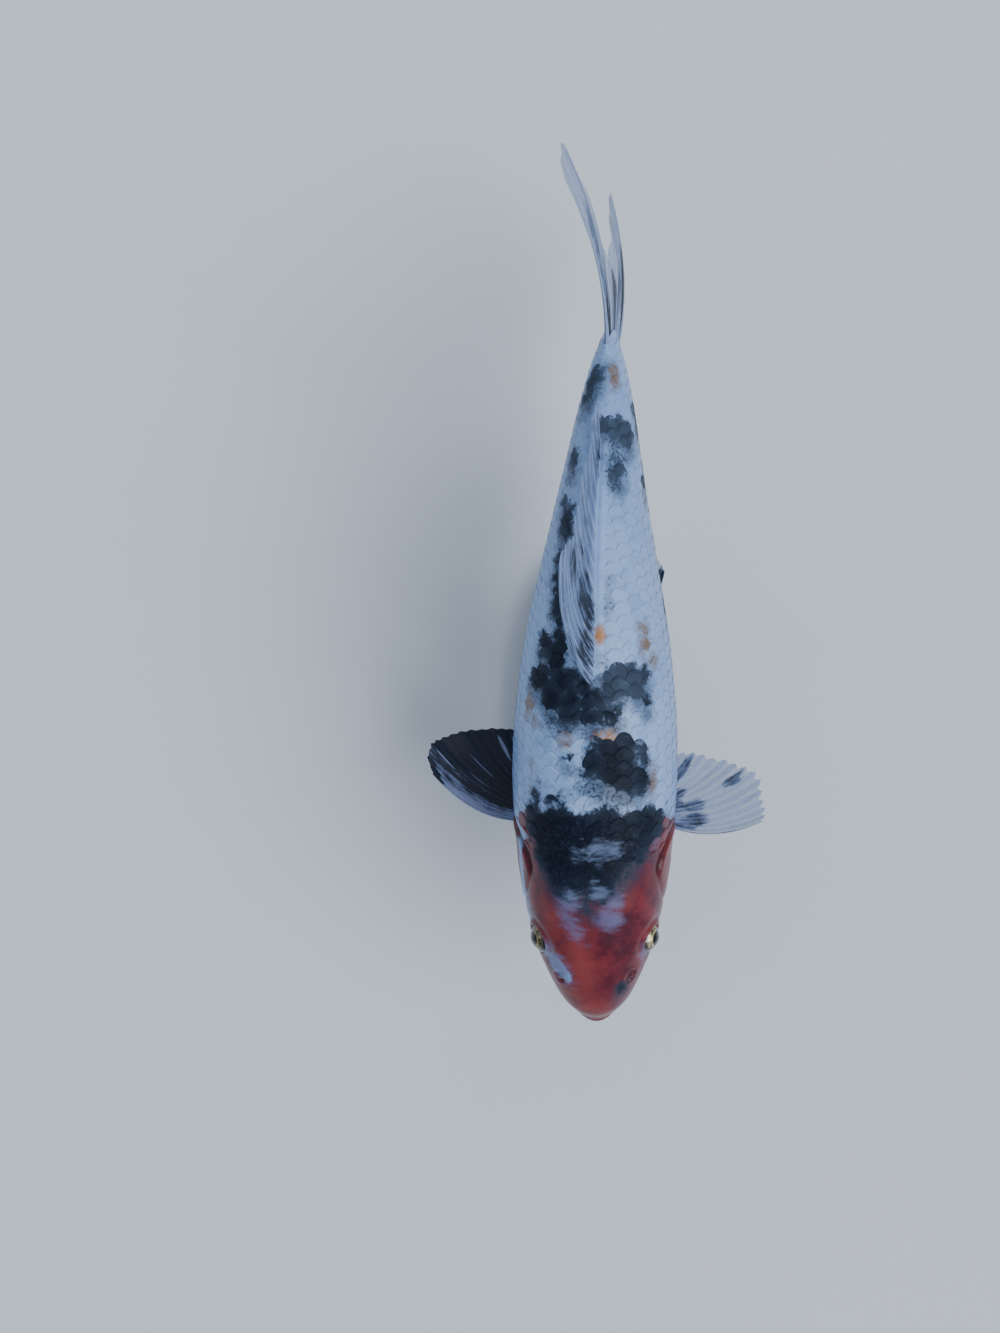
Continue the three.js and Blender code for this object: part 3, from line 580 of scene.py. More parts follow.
def markings(s, w, height):
    """Millimetres inside each colour at a place on the body: positive inside, negative outside."""
    gill = inside_distance(np.stack([s, height], axis=-1), gill_outline)
    straggle = (3.2 * np.sin(0.21 * w + 1) + 1.8 * np.sin(0.57 * w)) * soft(np.abs(w), 42, 52)
    behind = 86 - 0.22 * np.maximum(0, np.abs(w) - 30) - 0.35 * np.maximum(0, np.abs(w) - 50)
    red = np.maximum(behind - s + straggle, gill + 1)
    over_throat = height + 19 - 0.12 * np.maximum(0, 40 - s) + 2.4 * np.sin(0.23 * s)
    red = np.minimum(red, over_throat + 1.3 * np.sin(0.61 * s + w * 0.1))
    red = np.minimum(red, 1.2 - 1.6 * in_patches(WHITE_PATCHES, s, w))
    return {
        "black": in_black(s, w),
        "smoke": in_black(s + 4, w),
        "red": red,
        "faint": in_patches(FAINT_PATCHES, s, w),
        "gold": in_patches(GOLD_PATCHES, s, w),
        "rust": in_patches(RUST_PATCHES, s, w),
        "slate": np.maximum(in_patches(SLATE_PATCHES, s, w), 0.3 * (s - 186)),
        "lilac": in_patches(LILAC_PATCHES, s, w),
        "maroon_and_shade": in_patches(MAROON_AND_SHADE_PATCHES, s, w),
        "painted_light": in_patches(PAINTED_LIGHT_PATCHES, s, w),
        "ash": in_patches(ASH_PATCHES, s, w),
        "belly": -height,
    }


def fish_finish(name, scaled):
    """The wet hide: a blue-white ground, a red head, and black, gold and lilac patches with ragged edges."""
    hide = Finish(name)
    at = hide.places()
    broad = hide.noise(at, 60.0, 2.0)
    mottle = hide.noise(at, 170.0, 4.0)
    ragged = (hide.noise(at, 280.0, 3.0, 0.6) - 0.5) * 7.0
    fine = hide.noise(at, 1100.0, 3.0, 0.6)
    grains = hide.noise(at, 800.0, 2.0, 0.5)
    # Ground: blue-white, the blue partly a painted cast of bluish light; bluer and darker down the flanks as
    # painted shade and painted blue reflection; paler under the belly, with faint cloudy mottles.
    low = hide.step(hide.stored("belly"), -40.0, -10.0)
    ground = hide.blend((0.375, 0.54, 0.87), (0.235, 0.37, 0.69), low * 0.9)
    ground = hide.blend(ground, (0.45, 0.52, 0.7), hide.step(hide.stored("belly"), 8.0, 30.0))
    veil = hide.step(mottle + (fine - 0.5) * 0.4 + (broad - 0.5), 0.44, 0.74)
    ground = hide.blend(ground, (0.2, 0.34, 0.64), veil * 0.6)
    # Each scale has a tone of its own and a paler hind rim, a painted wet highlight; some are darker before
    # the rim.
    own, rim = 0.5, 1.0
    if scaled:
        own = hide.stored("own")
        rim = hide.step(hide.stored("rim"), 0.72, 1.0)
        ground = hide.blend(ground, (0.6, 0.74, 0.95), rim * 0.1 + own * 0.06)
        ground = hide.blend(ground, (0.22, 0.34, 0.6), (1 - rim) * hide.step(own, 0.4, 1.0) * 0.15)
    # Black shows through the scales before it as a slaty smoke, and ends behind in scallops.
    ragged = ragged * (0.6 if scaled else 0.8)
    black_depth = hide.stored("black") + 0.5 + ragged + (mottle - 0.5) * 5.0 + (fine - 0.5) * 2.4
    black_depth = black_depth + (own - 0.5) * 1.2
    smoke = hide.step(hide.stored("smoke") + (mottle - 0.5) * 6.0 + (fine - 0.5) * 3.0, -5.0, 2.0)
    sooty = hide.step(hide.stored("faint") + ragged + (mottle - 0.5) * 9.0, -2.0, 4.0)
    specks = hide.step(grains + sooty * 0.08 + smoke * 0.05, 0.64, 0.7) * (sooty + smoke).held()
    ground = hide.blend(ground, (0.07, 0.11, 0.2), smoke * (0.85 + (fine - 0.5) * 0.5))
    ground = hide.blend(ground, (0.05, 0.07, 0.12), (specks * 0.7 + sooty * (0.25 + fine * 0.45)).held())
    # Red of the head, darker in soft mottles and orange where it is thin.
    deep = hide.step(mottle + (fine - 0.5) * 0.15, 0.38, 0.66)
    red_tone = hide.blend((0.2, 0.026, 0.036), (0.105, 0.014, 0.028), deep)
    thin = hide.step(broad + (grains - 0.5) * 0.1, 0.5, 0.8)
    red_tone = hide.blend(red_tone, (0.3, 0.058, 0.05), thin * 0.5)
    # Darker mottles of deep red over the left of the head, partly painted shade.
    maroon_and_shade_share = hide.step(hide.stored("maroon_and_shade") + ragged, -4.0, 4.0) * hide.step(fine, 0.15, 0.75)
    red_tone = hide.blend(red_tone, (0.055, 0.012, 0.03), maroon_and_shade_share * 0.75)
    # Brighter, warmer red over the right of the head and the snout: painted light.
    painted_light_share = hide.step(hide.stored("painted_light") + ragged + (mottle - 0.5) * 9.0, -3.0, 4.0)
    red_tone = hide.blend(red_tone, (0.33, 0.062, 0.058), painted_light_share * 0.55)
    in_red = hide.step(hide.stored("red") + ragged + (broad - 0.5) * 14.0, -0.8, 1.2)
    colour = hide.blend(ground, red_tone, in_red)
    colour = hide.blend(colour, (0.07, 0.04, 0.07), smoke * in_red * 0.7)
    drawn = hide.node("ShaderNodeMapping", {}, {"Vector": at, "Scale": (150.0, 460.0, 300.0)})
    streaks = hide.noise(drawn, 1.0, 3.0, 0.6)
    lilac = hide.step(hide.stored("lilac") + (streaks - 0.5) * 7.0 + (fine - 0.5) * 4.0, -2.5, 3.0)
    colour = hide.blend(colour, (0.18, 0.17, 0.33), lilac * 0.8)
    rust = hide.step(hide.stored("rust") + ragged + (mottle - 0.5) * 5.0 + (fine - 0.5) * 3.0, -2.2, 3.0)
    colour = hide.blend(colour, (0.2, 0.1, 0.024), rust * 0.9)
    gold = hide.step(hide.stored("gold") + ragged + (fine - 0.5) * 4.0, -1.4, 1.8)
    colour = hide.blend(colour, (0.5, 0.2, 0.025), gold * 0.9)
    # Black, with a slaty bloom where the pigment thins and in the middle of some scales.
    ash = hide.step(hide.stored("ash") + (streaks - 0.5) * 16.0 + (mottle - 0.5) * 8.0, -0.5, 6.0)
    greyer = hide.step(fine + mottle * 0.5, 0.7, 1.0)
    black_tone = hide.blend((0.006, 0.009, 0.02), (0.02, 0.029, 0.054), greyer)
    slate = hide.step(hide.stored("slate") + (mottle - 0.5) * 9.0 + (own - 0.5) * 3.0, -1.0, 6.0)
    bloom = hide.step(black_depth + (fine - 0.5) * 3.0, 4.0, -0.5)
    black_tone = hide.blend(black_tone, (0.055, 0.08, 0.13), (slate * 0.6 + bloom * 0.45).held())
    black_tone = hide.blend(black_tone, (0.17, 0.22, 0.36), ash * 0.8)
    if scaled:
        black_tone = hide.blend(black_tone, (0.01, 0.014, 0.028), rim * 0.2)
    in_black = hide.step(black_depth, -0.9, 0.9) if scaled else hide.step(black_depth, -2.0, 2.0)
    colour = hide.blend(colour, black_tone, in_black)
    colour = hide.blend(colour, (0.02, 0.005, 0.01), hide.stored("slit") * 0.8)
    height = fine * 0.5 + hide.noise(at, 2600.0, 2.0) * 0.3
    rough = 0.36 + (fine - 0.5) * 0.2 + in_black * 0.2
    if scaled:
        rough = rough + (own - 0.5) * 0.12
        height = height + (hide.stored("growth") * 46.0).wave() * 0.25
    return hide.shade(
        Base_Color=colour,
        Roughness=rough,
        Normal=hide.bump(height, 0.3, 0.0004),
        Coat_Weight=0.4 - in_black * 0.38,
        Coat_Roughness=0.2,
        Subsurface_Weight=0.1,
        Subsurface_Radius=(0.0012, 0.0006, 0.0004),
        Subsurface_Scale=1.0,
        Specular_IOR_Level=0.12,
    )


skin = ringed_piece("skin", posed(skin_points), fish_finish("wet_hide", scaled=False))
marks = markings(skin_points[..., 0], around_back, skin_points[..., 2])
marks["slit"] = gill_slit(plain, on_side)
keep_on_points(skin, **{key: with_hubs(values) for key, values in marks.items()})
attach(skin, "root")
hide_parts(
    "head", "lip_upper", "jaw_lower", "gill_cover_left", "gill_cover_right",
    "trunk_front", "trunk_middle", "trunk_rear", "tail_stalk",
)  # fmt: skip


# --- Scales: thin horny plates in rows that follow the flank, each tucked at its root under the ones before
# it and free at its rounded hind edge. They begin behind the gill covers and the nape, and end at the root
# of the tail.
ROW_SPACING = 6.4
SCALE_LENGTH = 1.95  # in steps along the row
SCALE_WIDTH = 1.5  # in row spacings
LIFT_ROOT, LIFT_EDGE = -0.1, 0.25  # the root is sunk in the skin and the hind edge stands free
SCALE_CROWN, SCALE_THICK = 0.05, 0.13
ACROSS, ALONG = ((12, 9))
SCALED = (54, 274)  # stretch of the body that the scales are laid out over
SIDE_ROWS = 9  # the most rows over the lateral line, and under it
BACK_ROW, BELLY_ROW = 20, -20  # the numbers of the rows along the two ridges
LOCAL = 0.6  # how far a marking runs on across a scale instead of ending with it
BAKE_PATCH = 0.003  # side of each scale's patch of the bake map

# The way up one side of the body, measured from the middle of the flank, and the angle at each share of it.
HALF_SHARES = 80
s_table = np.arange(SCALED[0], SCALED[1] + 1.0)
half_turn = np.linspace(-math.pi / 2, math.pi / 2, 181)
flank_column = len(half_turn) // 2
side_rings = straight_body(*np.meshgrid(ring_at(s_table), half_turn, indexing="ij"), -COAT_DEPTH)
side_arc = np.cumsum(np.linalg.norm(np.diff(side_rings, axis=1, prepend=side_rings[:, :1]), axis=-1), axis=1)
side_arc -= side_arc[:, flank_column : flank_column + 1]
up_reach, down_reach = side_arc[:, -1], -side_arc[:, 0]
shares = np.linspace(-1, 1, 2 * HALF_SHARES + 1)
climbs = np.where(shares > 0, shares * up_reach[:, None], shares * down_reach[:, None])
angle_table = np.array([np.interp(places, row, half_turn) for places, row in zip(climbs, side_arc)])


def reach_up(s):
    return np.interp(s, s_table, up_reach)


def reach_down(s):
    return np.interp(s, s_table, down_reach)


def flank_angle(s, climb):
    """The angle round the left side at a distance climbed from the middle of the flank, or past the back."""
    share = climb / np.where(climb > 0, reach_up(s), reach_down(s))
    over = np.abs(share) > 1
    inner = np.where(over, np.sign(share) * (2 - np.abs(share)), share)
    row = np.clip(s - s_table[0], 0, len(s_table) - 1.001)
    column = np.clip((inner + 1) * HALF_SHARES, 0, 2 * HALF_SHARES - 0.001)
    i, j = row.astype(int), column.astype(int)
    f, g = row - i, column - j
    low = angle_table[i, j] * (1 - g) + angle_table[i, j + 1] * g
    high = angle_table[i + 1, j] * (1 - g) + angle_table[i + 1, j + 1] * g
    angle = low * (1 - f) + high * f
    return np.where(over, np.sign(share) * math.pi - angle, angle)


def body_surface(s, angle):
    """Points and outward normals at the skin's own level, on the straight body."""
    here = straight_body(ring_at(s), angle, -COAT_DEPTH)
    back = straight_body(ring_at(s + 0.2), angle, -COAT_DEPTH) - here
    over = straight_body(ring_at(s), angle + 0.004, -COAT_DEPTH) - here
    normal = np.cross(over, back)
    normal /= np.maximum(np.linalg.norm(normal, axis=-1, keepdims=True), 1e-9)
    outward = np.stack([np.zeros_like(s), here[..., 1], here[..., 2]], axis=-1)
    return here, normal * np.sign((normal * outward).sum(-1, keepdims=True))


def spacing_at(s):
    """From row to row."""
    return ROW_SPACING * (1 - 0.24 * soft(s, 140, 262))


def step_at(s):
    """From scale to scale along a row."""
    return 5.5 - 1.1 * (s - 60) / 210


def scale_roots():
    """The root of each scale of one side: distance from the snout, row, climb from the flank's middle."""
    stations = [SCALED[0] + 2.0]
    while stations[-1] < SCALED[1] - 2:
        stations.append(stations[-1] + step_at(stations[-1]))
    counts = np.arange(len(stations) - 1)
    roots = []
    for row in range(-SIDE_ROWS, SIDE_ROWS + 1):
        s = np.interp(counts + 0.5 * (row % 2), np.arange(len(stations)), stations)
        climb = row * spacing_at(s)
        kept = (climb > 1 - reach_down(s)) & (climb < reach_up(s) - 1.6)
        roots.append(np.stack([s, climb * 0 + row, climb], axis=1)[kept])
    s = np.array(stations[:-1]) + 0.25 * step_at(np.array(stations[:-1]))
    clear_back, clear_belly = (s < 124) | (s > 226), (s < 186) | (s > 224)  # no fin grows from the ridge
    roots.append(np.stack([s, s * 0 + BACK_ROW, reach_up(s)], axis=1)[clear_back])
    roots.append(np.stack([s, s * 0 + BELLY_ROW, -reach_down(s)], axis=1)[clear_belly])
    return np.concatenate(roots)


def two_faced(rows, columns):
    """Faces of a closed plate made of two grids of points, one over the other: upper, lower and rim."""
    grid = np.arange(rows * columns).reshape(rows, columns)
    quad = np.stack([grid[:-1, :-1], grid[:-1, 1:], grid[1:, 1:], grid[1:, :-1]], axis=-1).reshape(-1, 4)
    edge = np.concatenate([grid[0], grid[1:, -1], grid[-1, -2::-1], grid[-2:0:-1, 0]])
    rim = np.stack([edge, np.roll(edge, -1), np.roll(edge, -1) + grid.size, edge + grid.size], axis=1)
    return quad, quad[:, ::-1] + grid.size, rim[:, ::-1]


draw = np.random.default_rng(11)  # the same draws on every run
FIN_ROOTS = [((85, 23, -26), 7.5), ((145, 10.5, -34.5), 5.5)]  # bare skin round the pectoral and pelvic fins
roots = scale_roots()
root_s, root_row, root_climb = (roots[:, k].reshape(-1, 1, 1) for k in range(3))
# On a scale, x runs from its root to its round hind edge, and y across it.
x, y = np.meshgrid(np.linspace(0, 1, ALONG + 1), np.linspace(-1, 1, ACROSS + 1), indexing="ij")
along = x * (1 - 0.46 * np.abs(y) ** 2.3)
run = step_at(root_s) * SCALE_LENGTH
place_s = root_s + run * along
climb = root_climb + y * spacing_at(root_s) * SCALE_WIDTH / 2 * (0.86 + 0.14 * np.sqrt(along))
level, normal = body_surface(place_s, flank_angle(place_s, climb))
hind = level[:, ALONG, ACROSS // 2]
behind_cover = inside_distance(hind[:, [0, 2]], gill_outline)
# None on the head or the gill covers, past the root of the tail fin, on the throat, or round a fin's root.
kept = hind[:, 0] > 69.5 - 0.006 * hind[:, 1] ** 2
kept &= (behind_cover < -1.2) | (hind[:, 0] > 84)
kept &= hind[:, 0] < 264 + 8.5 * (1 - (hind[:, 2] / 17) ** 2)
kept &= (hind[:, 2] > -20) | (hind[:, 0] > 76 - 0.35 * np.abs(hind[:, 1]))
for place, reach in FIN_ROOTS:
    kept &= np.linalg.norm(level.mean(axis=(1, 2)) - place, axis=1) > reach

tilt, shade = draw.normal(0, 0.03, (len(roots), 1, 1)), draw.random((2, len(roots)))
lift = LIFT_ROOT + (LIFT_EDGE - LIFT_ROOT) * along**1.1 - SCALE_CROWN * y**2 + tilt * y
lift = lift + 0.12 * (np.abs(root_row) == BACK_ROW)
# Each scale of the middle row carries a short tube of the lateral line.
lift += 0.16 * (root_row == 0) * bulge(y, 0.11) * soft(along, 0.3, 0.5) * soft(-along, -0.85, -0.75)
gap = inside_distance(level[..., [0, 2]], gill_outline)
by_cover = (np.abs(gap) < 6) * (np.abs(level[..., 1]) > GILL_SIDE)
lift += gill_relief(level[..., 0], gap) * by_cover
lift -= 1.3 * soft(gap, -0.9, 0.3) * by_cover * (root_s > 58)  # the cover hides what it laps over
upper = level + normal * lift[..., None]
lower = upper - normal * (SCALE_THICK * (0.3 + 0.7 * (1 - x)))[..., None]
own_s = root_s + 0.72 * run
scale_finish = fish_finish("scaled_hide", scaled=True)


def scale_coat(name, side, chosen):
    """Joins the chosen scales of one side into a piece."""
    chosen = chosen & kept
    count, each = chosen.sum(), 2 * x.size
    both_faces = [face[chosen].reshape(count, -1, 3) for face in (upper, lower)]
    points = np.concatenate(both_faces, axis=1) * (1, side, 1)
    starts = np.arange(count).reshape(-1, 1, 1) * each
    plate = np.concatenate(two_faced(ALONG + 1, ACROSS + 1))[:, ::-side]
    piece = mesh_piece(name, posed(points.reshape(-1, 3)), [(plate + starts).reshape(-1, 4)], scale_finish)
    # Each scale has a small patch of the bake map, at its root's place on the body unrolled.
    s, up = roots[chosen, 0], roots[chosen, 2]
    root_flat = np.stack([0.01 + 0.97 * (place - place.min()) / np.ptp(place) for place in (up, s)], axis=1)
    spread = np.stack([BAKE_PATCH / 2 * (1 + y), BAKE_PATCH * x], axis=-1)
    spread = np.tile(spread.reshape(-1, 2), (2, 1))
    lay_flat(piece, [root_flat[:, None, None] + spread[plate]])

    def on_points(values):
        return np.tile(np.broadcast_to(values, (count, *x.shape)).reshape(count, -1), (1, 2)).ravel()

    # Markings are read mostly at the scale's own middle, so that they end in scallops.
    own_w = side * (reach_up(root_s) - root_climb)
    place_w = side * (reach_up(place_s) - climb)
    w = LOCAL * place_w + (1 - LOCAL) * own_w
    colours = markings((LOCAL * place_s + (1 - LOCAL) * own_s)[chosen], w[chosen], level[chosen][..., 2])
    colours["smoke"] = in_black(place_s[chosen] + 4, place_w[chosen])
    colours["slit"] = gill_slit(level[chosen], gap[chosen])
    keep_on_points(piece, **{key: on_points(values) for key, values in colours.items()})
    own = shade[(1 - side) // 2][chosen].reshape(-1, 1, 1)
    keep_on_points(piece, rim=on_points(x), own=on_points(own), growth=on_points(np.hypot(along, 0.6 * y)))
    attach(piece, "root")


row_number = roots[:, 1]
for side, name in ((1, "left"), (-1, "right")):
    shared = (np.abs(row_number) == BACK_ROW) & (side < 0)  # the ridges' scales are on the left pieces
    scale_coat(f"scales_back_{name}", side, (row_number > 1) & ~shared)
    scale_coat(f"scales_flank_{name}", side, (row_number <= 1) & ~shared)


# --- Fins: soft membranes stretched over bony rays, which split twice on the way to the margin and have a
# joint every millimetre or so. The roots are thick with flesh.
MEMBRANE = 0.16  # half thickness
RAY_ROUND = 0.34  # how far a ray stands out of the membrane near its root
ROOT_FLESH = 1.1  # what the flesh at the root adds to each face


def fin_place(keys, u, v):
    """Places on a fin, at a share u of the way over its rays and a share v of the way out along them."""
    ray = smooth_rows(keys, u * (len(keys) - 1))
    _, left, back, up = frame_at(ray[..., 0])
    leaves, ends, out = ray[..., 3:6], ray[..., 6:9], v[..., None]
    run = ray[..., 9:10] * (leaves * out + (ends - leaves) * out**2 / 2)
    return posed(ray[..., :3]) + left * run[..., :1] + back * run[..., 1:2] + up * run[..., 2:]


def ray_ridges(x, v):
    """How strongly the bone shows at x rays from the first, at a share v of the way out."""
    aside = x - np.round(x)
    first, second = 0.13 * soft(v, 0.35, 0.6), 0.065 * soft(v, 0.62, 0.85)
    width = 0.13 - 0.085 * soft(v, 0.1, 0.9)
    branches = [bulge(aside - a * first - b * second, width) for a in (-1, 1) for b in (-1, 1)]
    return np.max(branches, axis=0)


def stains(marks, u, v):
    """Share of black at places on a fin. Each mark has its middle, half width and half length, and its
    strength, which is below zero for a pale one."""
    dark, pale = np.zeros(np.shape(u)), np.zeros(np.shape(u))
    for at_u, at_v, wide, long, strength in marks:
        share = abs(strength) * soft(1.3 - np.hypot((u - at_u) / wide, (v - at_v) / long), 0, 0.9)
        if strength > 0:
            dark = np.maximum(dark, share)
        else:
            pale = np.maximum(pale, share)
    return dark - pale


def fin_finish(name, membrane_colour, bone_colour, clear, streaky=3.4):
    """Thin wet skin, clearer between the rays, with black in streaks that follow the rays, or as smoke."""
    web = Finish(name)
    at = web.places()
    across, out = web.stored("across"), web.stored("out")
    bone, dark = web.stored("bone"), web.stored("dark")
    run = web.node("ShaderNodeCombineXYZ", {}, (across * 2.6, out * 3.0, web.stored("seed")))
    streak = web.noise(run, 1.0, 5.0, 0.68)
    cloud = web.noise(at, 130.0, 4.0, 0.6)
    fine = web.noise(at, 900.0, 3.0)
    bony = bone * (0.3 + fine * 0.5 + cloud * 0.3) + (streak - 0.4) * 0.9
    colour = web.blend(membrane_colour, bone_colour, bony)
    colour = web.blend(colour, membrane_colour, web.step(cloud, 0.45, 0.7) * 0.35)
    colour = web.blend(colour, (0.3, 0.42, 0.7), web.step(out, 0.2, 0.0) * 0.8)
    depth = dark - 0.1 + (streak - 0.5) * streaky + (cloud - 0.5) * 0.9 + (fine - 0.5) * 0.3
    black = web.step(depth, 0.3, 1.0) * web.step(dark, 0.02, 0.4)
    colour = web.blend(colour, (0.009, 0.011, 0.018), black * 0.95)
    joints = (out * web.stored("reach") * 4.6).wave()
    relief = joints * bone * 0.4 + fine * 0.5
    solid = bone * 0.34 + web.step(out, 0.36, 0.02) + black + (streak - 0.5) * 0.4 + (clear - out * 0.1)
    return web.shade(
        Base_Color=colour,
        Roughness=0.32 + fine * 0.14,
        Normal=web.bump(relief, 0.3, 0.0003),
        Alpha=solid.held(),
        Coat_Weight=0.3 - black * 0.26,
        Coat_Roughness=0.2,
        Specular_IOR_Level=0.2,
    )


def fin(name, nodes, material, keys, rays, marks, ruffle=0.5, notch=0.02, fray=0.03):
    """Builds a fin from a few key rays. Each has its root, the direction that it leaves in, the direction it
    ends in (to the left, back and up), and its length. Then come how many rays the fin has, its marks, how
    much it ruffles, how deep the margin is notched between rays, and how much their lengths vary."""
    keys = np.array([(*root, *leaves, *ends, length) for root, leaves, ends, length in keys])
    per_ray, long = ((12, 56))
    share = np.linspace(0, 1, (rays - 1) * per_ray + 1)
    x = share * (rays - 1)
    uneven = np.interp(x, np.arange(rays), draw.uniform(0, fray, rays))
    between_rays, between_twigs = (0.5 - 0.5 * np.cos(turns * np.pi * x) for turns in (2, 8))
    reach = 1 - uneven - notch * between_rays - 0.35 * notch * between_twigs
    u, v = np.meshgrid(share, np.linspace(0, 1, long + 1), indexing="ij")
    x = u * (rays - 1)
    middle = fin_place(keys, u, v * reach[:, None])
    normal = np.cross(np.gradient(middle, axis=0), np.gradient(middle, axis=1))
    normal /= np.maximum(np.linalg.norm(normal, axis=-1, keepdims=True), 1e-9)
    phase = draw.uniform(0, 6)
    wave = np.sin(x * 1.7 + 3 * v + phase) + 0.6 * np.sin(x * 0.7 - 5 * v + 2 * phase)
    middle = middle + normal * (ruffle * v**1.6 * wave)[..., None]
    bone = ray_ridges(x, v)
    lead = bulge(u, 0.6 / rays)  # the first ray is the stoutest
    half = MEMBRANE * (1 - 0.5 * v) + RAY_ROUND * (1 - 0.72 * v) * bone * (1 + 0.5 * lead)
    half = half + ROOT_FLESH * (1 - soft(v, -0.08, 0.2)) * soft(u, -0.06, 0.1) * soft(1 - u, -0.06, 0.1)
    half = half * (0.35 + 0.65 * soft(1 - v, 0, 0.04))
    sheets = np.stack([middle + normal * half[..., None], middle - normal * half[..., None]])
    faces = two_faced(*u.shape)
    piece = mesh_piece(name, sheets.reshape(-1, 3), faces, material)
    # The two faces lie side by side on the bake map, with the rim as a thin strip between them.
    flat = [np.stack([0.01 + 0.98 * u, start + 0.46 * v], axis=-1) for start in (0.01, 0.53)]
    flat = np.stack(flat).reshape(-1, 2)
    rim_place = (np.arange(len(faces[2])).reshape(-1, 1) + [0, 1, 1, 0]) / len(faces[2])
    strip = 0.5 + 0.008 * np.array([-1, -1, 1, 1]) + rim_place * 0
    rim_flat = np.stack([0.01 + 0.98 * rim_place, strip], axis=-1)
    lay_flat(piece, [flat[faces[0]], flat[faces[1]], rim_flat[:, ::-1]])
    lengths = smooth_rows(keys, u * (len(keys) - 1))[..., 9]
    stored = {"across": x, "out": v, "bone": bone, "dark": stains(marks, u, v), "reach": lengths}
    stored["seed"] = u * 0 + phase
    keep_on_points(piece, **{key: np.tile(values.ravel(), 2) for key, values in stored.items()})
    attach(piece, "root")
    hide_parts(*nodes)


# The blue of the fins' membranes and rays is partly a painted cast of bluish light.
pale_fin = fin_finish("pale_fin_web", (0.15, 0.23, 0.45), (0.4, 0.5, 0.74), clear=0.43)
smoky_fin = fin_finish("smoky_fin_web", (0.15, 0.23, 0.45), (0.4, 0.5, 0.74), clear=0.41, streaky=1.5)
black_fin = fin_finish("black_fin_web", (0.13, 0.17, 0.34), (0.34, 0.4, 0.62), clear=0.7)

# The dorsal fin is half folded and lies over to the fish's right.
fin(
    "dorsal_web",
    ["dorsal_fin"],
    pale_fin,
    [
        ((133, 0, 38), (-0.46, 0.44, 0.7), (-0.2, 0.9, 0.3), 28),
        ((135, 0, 38), (-0.48, 0.52, 0.66), (0.08, 1, 0.02), 61),
        ((143, 0, 37.5), (-0.42, 0.6, 0.6), (0.06, 0.98, 0.02), 55),
        ((153, 0, 36.5), (-0.38, 0.66, 0.54), (0.04, 0.98, 0), 46),
        ((168, 0, 33.5), (-0.34, 0.7, 0.5), (-0.04, 0.98, 0), 38),
        ((186, 0, 29), (-0.28, 0.76, 0.46), (-0.06, 0.98, 0), 33),
        ((205, 0, 23.5), (-0.2, 0.82, 0.42), (-0.06, 0.99, 0), 28),
        ((222, 0, 19), (-0.12, 0.88, 0.36), (-0.04, 1, 0), 24),
    ],
    20,
    [
        (0.06, 0.06, 0.16, 0.2, 1.0), (0.13, 0.38, 0.05, 0.14, 0.85), (0.46, 0.3, 0.12, 0.34, 1.1),
        (0.4, 0.74, 0.08, 0.26, 0.9), (0.28, 0.14, 0.14, 0.2, 1.0), (0.94, 0.12, 0.08, 0.34, 1.1),
        (0.68, 0.6, 0.2, 0.5, 0.5), (0.92, 0.6, 0.08, 0.4, 0.55),
    ],
)  # fmt: skip

# Each pectoral fin is spread flat: the right one swept back, the left one held forwards.
fin(
    "pectoral_web_right",
    ["pectoral_fin_right"],
    black_fin,
    [
        ((78, -24, -23), (-1, -0.2, -0.1), (-0.86, 1, 0.1), 47),
        ((80, -24, -24), (-0.98, 0.06, -0.12), (-0.76, 0.96, 0.1), 52.4),
        ((82, -23.6, -25), (-0.92, 0.3, -0.16), (-0.62, 0.84, 0.06), 52.2),
        ((84, -23, -26), (-0.8, 0.52, -0.2), (-0.46, 0.8, 0.02), 46.5),
        ((86, -22.4, -26.8), (-0.62, 0.68, -0.24), (-0.28, 0.88, -0.02), 37.6),
        ((87.5, -21.6, -27.5), (-0.42, 0.84, -0.28), (-0.12, 0.96, -0.08), 29),
    ],
    16,
    [
        (0.66, 0.5, 0.53, 1.8, 2.2), (0.06, 0.98, 0.14, 0.1, 2.0), (0.27, 0.86, 0.009, 0.1, -1.7),
        (0.36, 0.56, 0.007, 0.16, -1.5), (0.3, 0.5, 0.005, 0.3, -1.2), (0.49, 0.6, 0.008, 0.32, -1.7),
        (0.43, 0.74, 0.005, 0.2, -1.2), (0.76, 0.75, 0.022, 0.26, -1.7), (0.66, 0.66, 0.006, 0.3, -1.3),
        (0.58, 0.7, 0.005, 0.3, -1.2), (0.86, 0.8, 0.008, 0.24, -1.6), (0.82, 0.5, 0.008, 0.2, -1.6),
    ],
    notch=0.012,
    fray=0.015,
)  # fmt: skip
